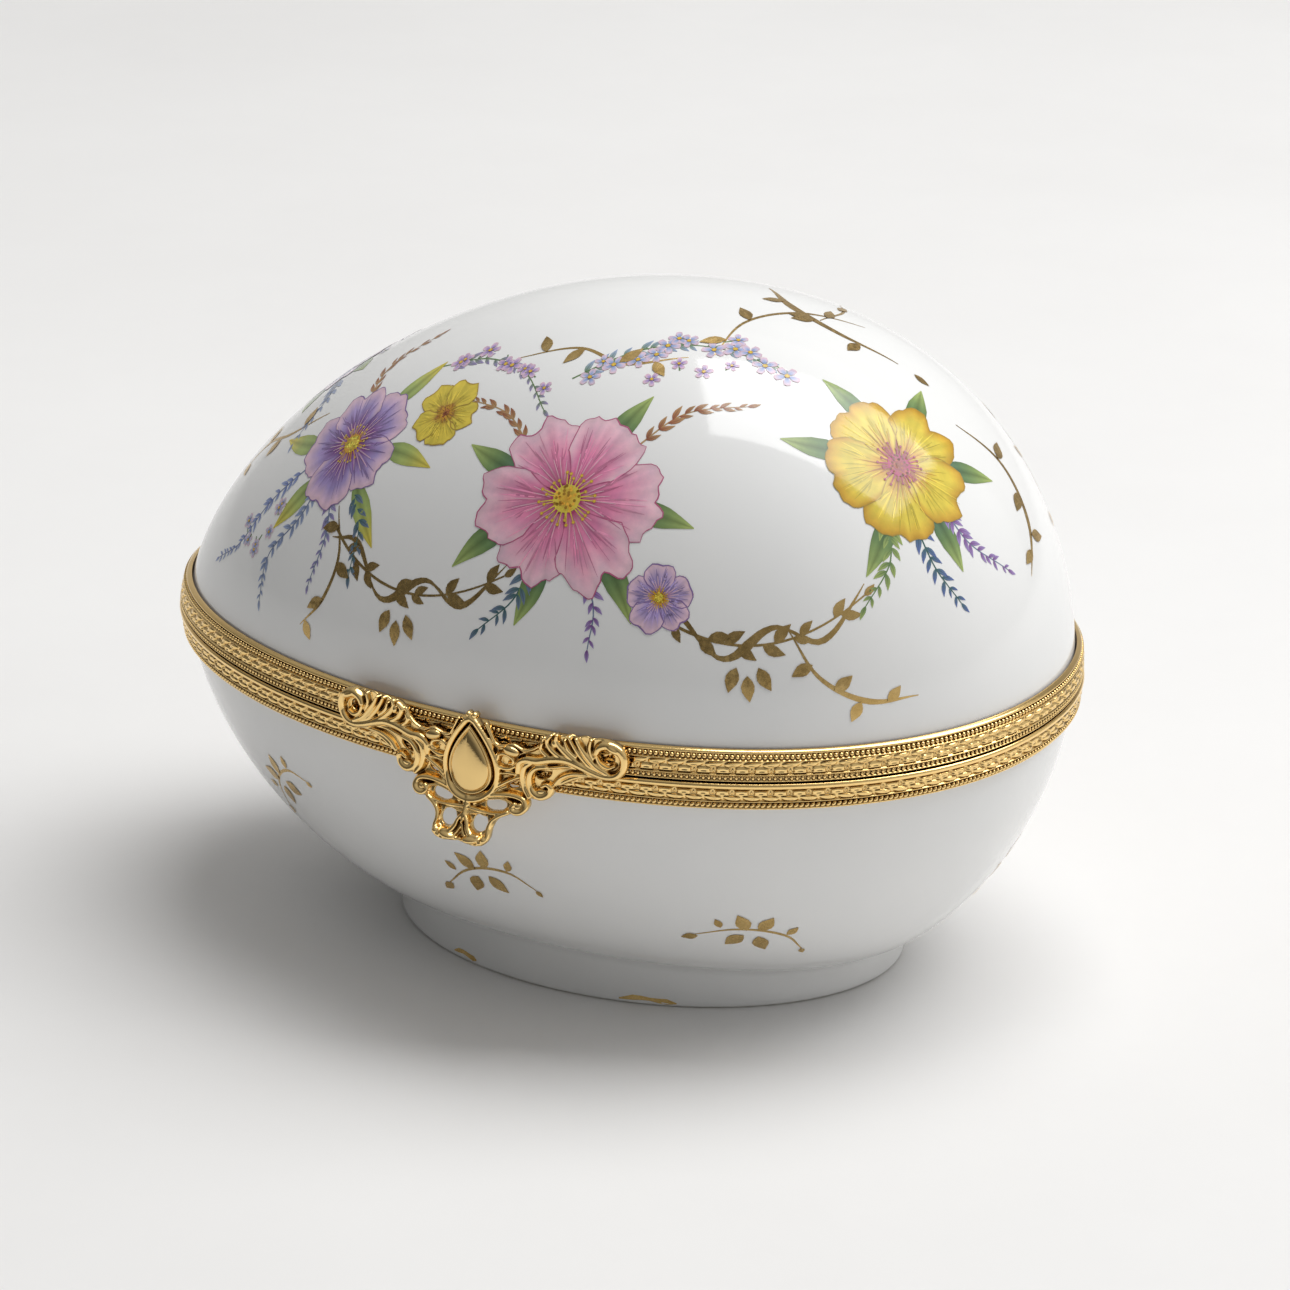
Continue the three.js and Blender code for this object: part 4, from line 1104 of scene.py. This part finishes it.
    def bloom(self, at, radius, petals, stops, vein, heart, turn, notch, frill):
        """Open flower: overlapping petals with veins, round a heart with stamens."""
        at = np.asarray(at, float)
        headings = [turn + 360 * k / petals + CHANCE.uniform(-4, 4) for k in range(petals)]
        self.disc(at, radius * 0.4, stops[:1] * 2, PETAL - 0.5)
        edge = tuple((a + b) / 2.4 for a, b in zip(vein, stops[-2]))
        for k, heading in enumerate(headings):
            length = radius * CHANCE.uniform(0.92, 1.04)
            self.petal(at, heading, length, 225 / petals, stops, notch, frill, PETAL + k % 2, edge)
        for heading in headings:
            for _ in range(HATCHES):
                swing = CHANCE.uniform(-0.85, 0.85)
                near, far = CHANCE.uniform(0.2, 0.5), CHANCE.uniform(0.6, 0.92) * (1 - 0.2 * abs(swing))
                ways = [heading_vector(heading + swing * 180 / petals * b) for b in (0.8, 1.0, 1.08)]
                path = [at + way * radius * reach for way, reach in zip(ways, (near, (near + far) / 2, far))]
                tone = shaded(gradient(stops, (near + far) / 2), CHANCE.choice((0.68, 0.78, 1.22)))
                widths = (0.03, CHANCE.uniform(0.06, 0.17), 0.02)
                self.strip(path, widths, (tone,), FLAT, 1.6, VEIN - 0.4)
            for swing in VEIN_SWINGS:
                ways = [heading_vector(heading + swing * 180 / petals * b) for b in (0.6, 1.0, 1.2)]
                reach = radius * (0.7 - 0.3 * abs(swing)) * CHANCE.uniform(0.6, 1)
                path = [at + ways[0] * radius * 0.16, at + ways[1] * reach * 0.6, at + ways[2] * reach]
                self.strip(path, (0.2, 0.1, 0.03), (vein, stops[-1]), FLAT, 1.6, VEIN)
        self.disc(at, radius * 0.15, heart)
        for _ in range(STIPPLES):
            way = heading_vector(CHANCE.uniform(0, 360))
            place = at + way * radius * 0.14 * CHANCE.random() ** 0.5
            self.disc(place, radius * 0.016, (shaded(heart[0], CHANCE.choice((0.6, 1.5))),) * 2, HEART + 0.5)
        for k in range(STAMENS):
            way = heading_vector(360 * k / STAMENS + CHANCE.uniform(-6, 6))
            reach = radius * CHANCE.uniform(0.2, 0.31)
            path = [at + way * radius * 0.1, at + way * reach]
            self.strip(path, (0.12, 0.05), (heart[-1],), FLAT, 1, VEIN + 1)
            self.disc(at + way * reach, radius * 0.018, heart[::-1], HEART + 1)

    def floret(self, at, radius, stops, heart, turn):
        for k in range(5):
            self.petal(at, turn + 72 * k, radius, 30, stops, 0, 0, PETAL + k % 2)
        self.disc(at, radius * 0.2, heart)

    def spray(self, path, twig, leaf, spacing, angle=48, thick=0.15, shrink=0.5):
        """Stem with leaves on both sides; leaf is (length, width, stops)."""
        self.strip(path, (thick, thick * 0.5), twig, (0.9, 1.0))
        length = np.linalg.norm(np.diff(np.asarray(path, float), axis=0), axis=1).sum()
        count = max(3, round(length / spacing))
        curve = smooth_curve(path, count * 4)
        for k in range(1, count):
            t = k / count
            point = curve[4 * k]
            way = curve[min(4 * k + 2, len(curve) - 1)] - curve[4 * k - 2]
            heading = math.degrees(math.atan2(way[1], way[0]))
            size = (1 - shrink * t) * CHANCE.uniform(0.8, 1.15)
            for side in (-1, 1):
                at = point + way * 0.3 * CHANCE.uniform(-1, 1)
                turned = heading + side * angle * CHANCE.uniform(0.8, 1.2)
                self.leaf(at, turned, leaf[0] * size, leaf[1] * size, leaf[2], -0.2 * side)
        way = curve[-1] - curve[-3]
        self.leaf(curve[-1], math.degrees(math.atan2(way[1], way[0])), leaf[0] * 0.7, leaf[1] * 0.7, leaf[2])

    def florets(self, path, count, radius, stops, heart, scatter):
        """Cluster of small flowers along a stem."""
        for point in smooth_curve(path, count):
            at = point + np.array([CHANCE.uniform(-scatter, scatter), CHANCE.uniform(-scatter, scatter)])
            self.strip([point, at], (0.12, 0.12), (GREEN,), FLAT)
            self.floret(at, radius * CHANCE.uniform(0.75, 1.1), stops, heart, CHANCE.uniform(0, 72))

    def drops(self, places):
        """Gilt drops given as x, y, heading, length and width."""
        for x, y, heading, length, width in places:
            self.leaf((x, y), heading, length, width, (GOLD,), 0.1, VEIN)

    def finish(self, name, body, material):
        piece = metre_piece(name, self.points, self.faces, material)
        paint = piece.data.color_attributes.new(name="paint", type="FLOAT_COLOR", domain="POINT")
        paint.data.foreach_set("color", [c for colour in self.colours for c in (*colour, 1.0)])
        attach(piece, body)


def enamel_material():
    material, tree, shader = node_material("painted_enamel")
    paint = add(tree, "ShaderNodeAttribute", attribute_name="paint")
    grain = ramp(tree, noise(tree, 420, 6, 0.65), (0.32, (0.84, 0.86, 0.88)), (0.68, (1.06, 1.03, 1.0)))
    mixed = add(tree, "ShaderNodeMix", data_type="RGBA", blend_type="MULTIPLY")
    mixed.inputs[0].default_value = 1.0
    tree.links.new(paint.outputs["Color"], mixed.inputs[6])
    tree.links.new(grain, mixed.inputs[7])
    tree.links.new(mixed.outputs[2], shader.inputs["Base Color"])
    tree.links.new(remap(tree, noise(tree, 300, 2), 0.07, 0.16), shader.inputs["Roughness"])
    bump(tree, shader, noise(tree, 900, 3), 10 * MICRON)
    return material


# Bouquets as anchor; sprays of path, twig, leaf, spacing and angle; collars of leaves, given as heading and
# length, with their start, width and colours; blooms; and clusters of florets
FOLIAGE = (TEAL, GREEN, LIME)
YOUNG = (GREEN, LIME, LEMON)
GLOW = (LEMON, AMBER)
EMBER = (AMBER, LEMON)
SKYBLUE = (COBALT, SKY, BLUSH)
VIOLET = (PLUM, LILAC, BLUSH)
LAVENDER = ((SLATE,), (2.8, 1.0, (PLUM, LILAC)), 1.7)
WHEAT = ((STRAW,), (3.0, 1.0, (STRAW, RUST)), 1.9, 34)
BOUQUETS = (
    ((19, 41),
     [([(5, -9), (8, -15), (8, -21)], *LAVENDER),
      ([(-3, -10), (-5, -16), (-10, -21)], (TEAL,), (3.4, 1.1, (TEAL, SLATE)), 2.0),
      ([(-9, 7), (-15, 12), (-23, 14)], *WHEAT),
      ([(8, 10), (13, 17), (21, 21)], (STRAW,), (3.0, 1.0, (RUST, STRAW)), 1.9, 34)],
     [([(165, 12), (212, 12.6), (262, 12), (318, 13.2), (2, 12), (70, 12)], 8, 3.9, FOLIAGE)],
     [((0, 0), 14.6, 6, (CRIMSON, PINK, BLUSH), CRIMSON, EMBER, 12, 0.1, 0.045),
      ((17.5, -11.5), 5.4, 5, VIOLET, PLUM, GLOW, 30, 0.08, 0.03)]),
    ((76, 36),
     [([(4, -7), (7, -14), (14, -19)], *LAVENDER),
      ([(-6, -6), (-8, -13), (-14, -18)], (GREEN,), (3.2, 1.1, (GREEN, LIME)), 2.0),
      ([(-2, -8), (-1, -16), (2, -22)], (TEAL,), (3.0, 1.0, (TEAL, COBALT)), 1.8)],
     [([(150, 11.16), (232, 11.78), (285, 11.16), (345, 11.78), (40, 11.16), (95, 10.54)], 7, 3.6, FOLIAGE)],
     [((0, 0), 12.6, 5, (RUST, AMBER, LEMON, LEMON, AMBER), RUST, (RUST, CRIMSON), 100, 0.14, 0.035)]),
    ((52, 60), [([(-19, -2), (-9, 3), (1, 4), (12, 1)], (GREEN,), (2.8, 1.0, (GREEN, SKY)), 2.0)], [], [],
     [([(-17, -1), (-8, 4), (2, 5.5), (11, 2)], 14, 1.9, SKYBLUE, GLOW, 2.4),
      ([(-6, -2), (4, -1)], 4, 1.5, VIOLET, GLOW, 1.5)]),
    ((-44, 40),
     [([(-5, 7), (-9, 14), (-7, 22)], *WHEAT),
      ([(6, -5), (12, -10), (14, -17)], (TEAL,), (3.0, 1.1, (TEAL, SLATE)), 2.0)],
     [([(200, 13), (248, 12), (325, 13)], 7, 3.8, YOUNG), ([(15, 12), (75, 12)], 7, 3.6, YOUNG)],
     [((0, 0), 11.0, 5, (CRIMSON, PLUM, LILAC, BLUSH), PLUM, GLOW, 60, 0.1, 0.04),
      ((14, 11.5), 6.2, 5, (AMBER, LEMON, LEMON), RUST, (RUST, AMBER), 20, 0.1, 0.04)]),
    ((-46, 20),
     [([(3, 12), (2, 5), (-2, -2), (-1, -9)], (SLATE,), (2.5, 0.9, (SLATE, SKY)), 1.5),
      ([(-3, 12), (-8, 5), (-12, -3), (-18, -7)], (SLATE,), (2.3, 0.8, (COBALT, SKY)), 1.5),
      ([(6, 12), (10, 5), (10, -3)], (SLATE,), (2.2, 0.8, (SLATE, LILAC)), 1.5)], [], [],
     [([(-3, 6), (-6, 0), (-11, -1)], 7, 1.25, SKYBLUE, GLOW, 2.0)]),
    ((-16, 62), [([(-12, -2), (-4, 2), (5, 2), (13, -2)], (GREEN,), (2.6, 0.9, (GREEN, LILAC)), 2.0)], [], [],
     [([(-10, 0), (0, 4), (10, 1)], 8, 1.7, VIOLET, GLOW, 2.0)]),
)
# The back's blooms as anchor, radius, colours and vein; all have the same sprays, leaves and florets
BACK_BLOOMS = (
    ((150, 44, 0), 10.5, (AMBER, LEMON, BLUSH), RUST),
    ((222, 42, 20), 11.5, (CRIMSON, PINK, BLUSH), CRIMSON),
    ((-88, 38, -15), 8.5, SKYBLUE, COBALT),
)
BACK_SPRAYS = (
    ([(-6, -4), (-13, -9), (-21, -11)], (GREEN,), (3.1, 1.1, (GREEN, LIME)), 2.0),
    ([(6, 4), (14, 6), (22, 3)], (SLATE,), (2.8, 1.0, (SLATE, SKY)), 1.8),
    ([(3, -6), (6, -13), (12, -18)], (PLUM,), (2.5, 0.9, (PLUM, LILAC)), 1.7),
)
BACK_FLORETS = [([(-12, 8), (-5, 11), (3, 12)], 5, 1.5, SKYBLUE, GLOW, 1.8)]
BACK_LEAVES = (150, 215, 290, 350, 60)


def bouquet(paint, anchor, sprays, collars, blooms, clusters=()):
    """Paints a bouquet round its anchor, from the hindmost parts to the foremost."""
    paint.anchor(*anchor)
    for spray in sprays:
        paint.spray(*spray)
    for leaves, start, width, stops in collars:
        for heading, length in leaves:
            bend = CHANCE.uniform(-0.2, 0.2)
            paint.leaf(heading_vector(heading) * start, heading, length, width, stops, bend)
    for bloom in blooms:
        paint.bloom(*bloom)
    for cluster in clusters:
        paint.florets(*cluster)


def paint_lid(paint):
    for parts in BOUQUETS:
        bouquet(paint, *parts)
    for anchor, radius, stops, vein in BACK_BLOOMS:
        leaves = [(heading, radius * 0.95) for heading in BACK_LEAVES]
        bloom = ((0, 0), radius, 5, stops, vein, EMBER, 40 + anchor[2], 0.1, 0.035)
        bouquet(paint, anchor, BACK_SPRAYS, [(leaves, radius * 0.6, 4.0, FOLIAGE)], [bloom], BACK_FLORETS)


# Gilt sprigs as anchor, stem, the stem's half widths, and drops of x, y, heading, length and width
LID_SPRIGS = (
    ((60, 12), [(-9, 8), (-5, 1), (2, -3), (10, -3)], (0.08, 0.3, 0.45, 0.06),
     [(-6, 3, 200, 3.4, 1.9), (-3, -1, 30, 3.4, 1.9), (1, -3, 235, 3.2, 1.8), (5, -3.4, 40, 3.0, 1.7)]),
    ((96, 26), [(-2, 14), (2, 5), (0, -4), (-6, -11)], (0.08, 0.35, 0.5, 0.06),
     [(2, 6, 20, 4.0, 2.2), (1.5, 0, 200, 4.0, 2.2), (-1, -6, 330, 3.6, 2.0), (-3, -8, 190, 3.4, 1.8)]),
    ((86, 60), [(-15, 4), (-5, 6), (5, 3), (13, -4)], (0.08, 0.25, 0.35, 0.06),
     [(-11, 5, 130, 4.0, 1.9), (-4, 6, 50, 4.2, 2.0), (3, 4, 300, 4.2, 2.0), (8, 0, 20, 3.8, 1.8)]),
    ((24, 68), [(-13, -5), (-4, -1), (5, -2), (13, 3)], (0.08, 0.25, 0.35, 0.06),
     [(-9, -3, 120, 4.0, 1.9), (-3, -1, 240, 4.0, 1.9), (4, -2, 60, 4.2, 2.0), (9, 0, 320, 3.6, 1.8)]),
    ((-30, 22), [(-4, 9), (0, 2), (-1, -5), (-5, -10)], (0.08, 0.28, 0.32, 0.06),
     [(-2, 6, 190, 3.6, 1.9), (0, 1, 330, 3.8, 2.0), (-1, -5, 210, 3.6, 1.8), (-4, -9, 300, 3.2, 1.7)]),
    ((-70, 26), [(9, 13), (3, 5), (-4, 0), (-7, -7)], (0.08, 0.3, 0.35, 0.06),
     [(5, 8, 120, 3.8, 2.0), (1, 3, 260, 3.8, 2.0), (-4, 0, 110, 3.6, 1.8), (-6, -5, 330, 3.2, 1.7)]),
)
BRANCH_ANCHORS = ((120, 30, 0), (175, 36, 10), (250, 30, 0), (200, 62, 60), (-110, 30, 20), (100, 60, 40))
BRANCH_DROPS = [(-9, -2, 110, 3.6, 1.9), (-2, 2, 70, 3.8, 2.0), (5, 3, 60, 3.4, 1.8), (3, -6, 300, 3.2, 1.6),
                (-15, -9, 215, 2.8, 1.5)]
# Garlands as bearing, elevation, half length and sag
GARLANDS = ((48, 25, 17, 7.5), (-13, 30, 17, 6.5))
METAL = (GOLD,)


def gild_lid(gold):
    for bearing, elevation, half, sag in GARLANDS:
        gold.anchor(bearing, elevation)
        across = np.linspace(-half, half, 17)
        hang = sag * (across / half) ** 2 - sag
        gold.spray(np.stack([across, hang], -1), METAL, (3.3, 1.6, METAL), 5.2, 44, 0.26, 0.0)
        wound = hang + 2.3 * np.sin(across * 0.42)
        gold.strip(np.stack([across, wound], -1), (0.06, 0.5, 0.2, 0.75, 0.2, 0.5, 0.06), METAL)
        for way in (-1, 0, 1):
            gold.drops([(way * 1.6, -sag - 3.2 - 1.2 * (way == 0), 270 + 24 * way, 3.8, 2.0)])
    for anchor, stem, widths, drops in LID_SPRIGS:
        gold.anchor(*anchor)
        gold.strip(stem, widths, METAL)
        gold.drops(drops)
    for anchor in BRANCH_ANCHORS:
        gold.anchor(*anchor)
        gold.strip([(-13, -7), (-6, 0), (3, 3), (12, 1)], (0.1, 0.5, 0.8, 0.1), METAL)
        gold.strip([(-2, 1), (2, -6), (8, -10)], (0.1, 0.25, 0.06), METAL)
        gold.drops(BRANCH_DROPS)


# Sprigs of the bowl as bearing, elevation, turn and size
BOWL_SPRIGS = (
    (2, -27, 12, 1.0), (50, -28, -14, 1.0), (-46, -20, 40, 0.95), (98, -24, 10, 0.9), (150, -28, -10, 1.0),
    (196, -28, 15, 1.0), (240, -26, -12, 0.95), (-80, -18, 0, 0.85),
)
BOWL_STEM = np.array([(-7.5, -2.6), (-3, 0.4), (1.5, 1.4), (6, 0.4), (9, -3)])
BOWL_LEAVES = (
    (-0.5, 1, 118, 4.0, 2.4), (1.2, 1.4, 62, 3.8, 2.3), (-0.6, -0.4, 232, 3.8, 2.5),
    (1.6, -0.2, 292, 4.0, 2.5), (-7, -2.8, 205, 2.6, 1.6), (-4.4, 0.6, 120, 2.2, 1.3),
    (5.6, 1.0, 52, 2.4, 1.4), (9, -3, 285, 1.5, 1.0),
)
# Worn traces on the foot's edge as bearing, elevation and half length
FOOT_TRACES = ((36, -52.1, 4.5), (-22, -56.2, 2.6))


def gild_bowl(gold):
    for bearing, elevation, turn, size in BOWL_SPRIGS:
        gold.anchor(bearing, elevation, turn)
        gold.strip(BOWL_STEM * size, (0.1, 0.24, 0.28, 0.1), METAL)
        for x, y, heading, length, width in BOWL_LEAVES:
            gold.leaf((x * size, y * size), heading, length * size, width * size, METAL, 0.12, VEIN)
    for bearing, elevation, half in FOOT_TRACES:
        gold.anchor(bearing, elevation)
        trace = [(-half, -0.3), (-half / 3, 0.1), (half / 2, -0.2), (half, -0.4)]
        gold.strip(trace, (0.1, 0.42, 0.25, 0.5, 0.1), METAL)


def decoration():
    enamel = enamel_material()
    for name, shell, body, work, material, slot in (
        ("lid_flowers", DOME, "lid", paint_lid, enamel, "porcelain"),
        ("lid_gilding", DOME, "lid", gild_lid, GILDING, "gilt_brass"),
        ("bowl_gilding", BOWL, "base", gild_bowl, GILDING, "gilt_brass"),
    ):
        painting = Painting(shell)
        work(painting)
        painting.finish(name, body, material)


decoration()


# Camera and studio

AZIMUTH = 29.0
ELEVATION = 21.1
DISTANCE = 794.2
TARGET = (3.74, 1.45, 45.14)
PHOTO_SIZE = 1290
FOCAL_PIXELS = 5126
SENSOR = 36.0


def camera():
    data = bpy.data.cameras.new("camera")
    data.sensor_width = SENSOR
    data.lens = FOCAL_PIXELS / PHOTO_SIZE * SENSOR
    data.clip_start = 0.01
    data.clip_end = 20
    thing = bpy.data.objects.new("camera", data)
    bpy.context.scene.collection.objects.link(thing)
    back = towards(AZIMUTH, ELEVATION)
    thing.location = Vector(placed(TARGET)) + back * DISTANCE * MM
    thing.rotation_euler = (-back).to_track_quat("-Z", "Y").to_euler()
    bpy.context.scene.camera = thing


camera()


def studio_floor():
    """Pale floor that bends up into a wall behind the box, with painted light making it paler further back.
    """
    size, flat, rise, turn = 2.6, 1.2, 1.8, 0.5
    section = [(-size, 0.0), (flat, 0.0)]
    for a in np.linspace(0.1, math.pi / 2, 12):
        section.append((flat + turn * math.sin(a), turn - turn * math.cos(a)))
    section.append((flat + turn, rise))
    az = math.radians(AZIMUTH)
    away = np.array([-math.sin(az), math.cos(az), 0])
    across = np.array([math.cos(az), math.sin(az), 0])
    points = [away * d + across * w + np.array([0, 0, z]) for d, z in section for w in (-size, size)]
    faces = [[2 * i, 2 * i + 1, 2 * i + 3, 2 * i + 2] for i in range(len(section) - 1)]
    material, tree, shader = node_material("studio_floor")
    tone = ramp(tree, noise(tree, 5, 6, 0.62), (0.3, (0.79, 0.783, 0.775)), (0.72, (0.835, 0.83, 0.822)))
    # Painted light: the floor's colour is scaled up further behind the box, standing in for the light that
    # the key lamp gives less of there
    where = add(tree, "ShaderNodeTexCoord")
    depth = add(tree, "ShaderNodeVectorMath", operation="DOT_PRODUCT")
    depth.inputs[1].default_value = away
    tree.links.new(where.outputs["Object"], depth.inputs[0])
    painted_light_scale = add(tree, "ShaderNodeVectorMath", operation="SCALE")
    tree.links.new(tone, painted_light_scale.inputs[0])
    tree.links.new(remap(tree, depth.outputs["Value"], 0.97, 1.09, -0.2, 0.8), painted_light_scale.inputs["Scale"])
    tree.links.new(painted_light_scale.outputs["Vector"], shader.inputs["Base Color"])
    shader.inputs["Roughness"].default_value = 0.55
    shader.inputs["Specular IOR Level"].default_value = 0.25
    floor = metre_piece("studio_floor", points, faces, material)


studio_floor()


LIGHT_AIM = (0, 0, 50)


def soft_light(name, azimuth, elevation, distance, width, height, power, roll):
    """Rectangular soft light at a bearing from the box, facing it."""
    data = bpy.data.lights.new(name, "AREA")
    data.shape = "RECTANGLE"
    data.size = width
    data.size_y = height
    data.energy = power
    thing = bpy.data.objects.new(name, data)
    back = towards(azimuth, elevation)
    thing.location = Vector(placed(LIGHT_AIM)) + back * distance
    turn = Matrix.Rotation(math.radians(roll), 3, "Z")
    thing.rotation_euler = ((-back).to_track_quat("-Z", "Y").to_matrix() @ turn).to_euler()
    bpy.context.scene.collection.objects.link(thing)


soft_light("key_window", 134, 66, distance=1.2, width=0.83, height=1.3, power=15.2, roll=-20)

ROOM_BEARING = 142.0
ROOM_HEIGHT = 42.0
ROOM_STRENGTHS = (0.1, 0.58)
ROOM_SPREAD = (-0.35, 0.9)


def surroundings():
    """Room light, brightest behind on the right and dim low down in front."""
    world = bpy.data.worlds.new("studio")
    world.use_nodes = True
    tree = world.node_tree
    back = tree.nodes["Background"]
    back.inputs["Color"].default_value = (1.0, 0.995, 0.985, 1.0)
    where = add(tree, "ShaderNodeTexCoord")
    facing = add(tree, "ShaderNodeVectorMath", operation="DOT_PRODUCT")
    facing.inputs[1].default_value = towards(ROOM_BEARING, ROOM_HEIGHT)
    tree.links.new(where.outputs["Generated"], facing.inputs[0])
    strength = remap(tree, facing.outputs["Value"], *ROOM_STRENGTHS, *ROOM_SPREAD)
    tree.links.new(strength, back.inputs["Strength"])
    bpy.context.scene.world = world


surroundings()
bpy.context.scene.view_settings.view_transform = "Standard"
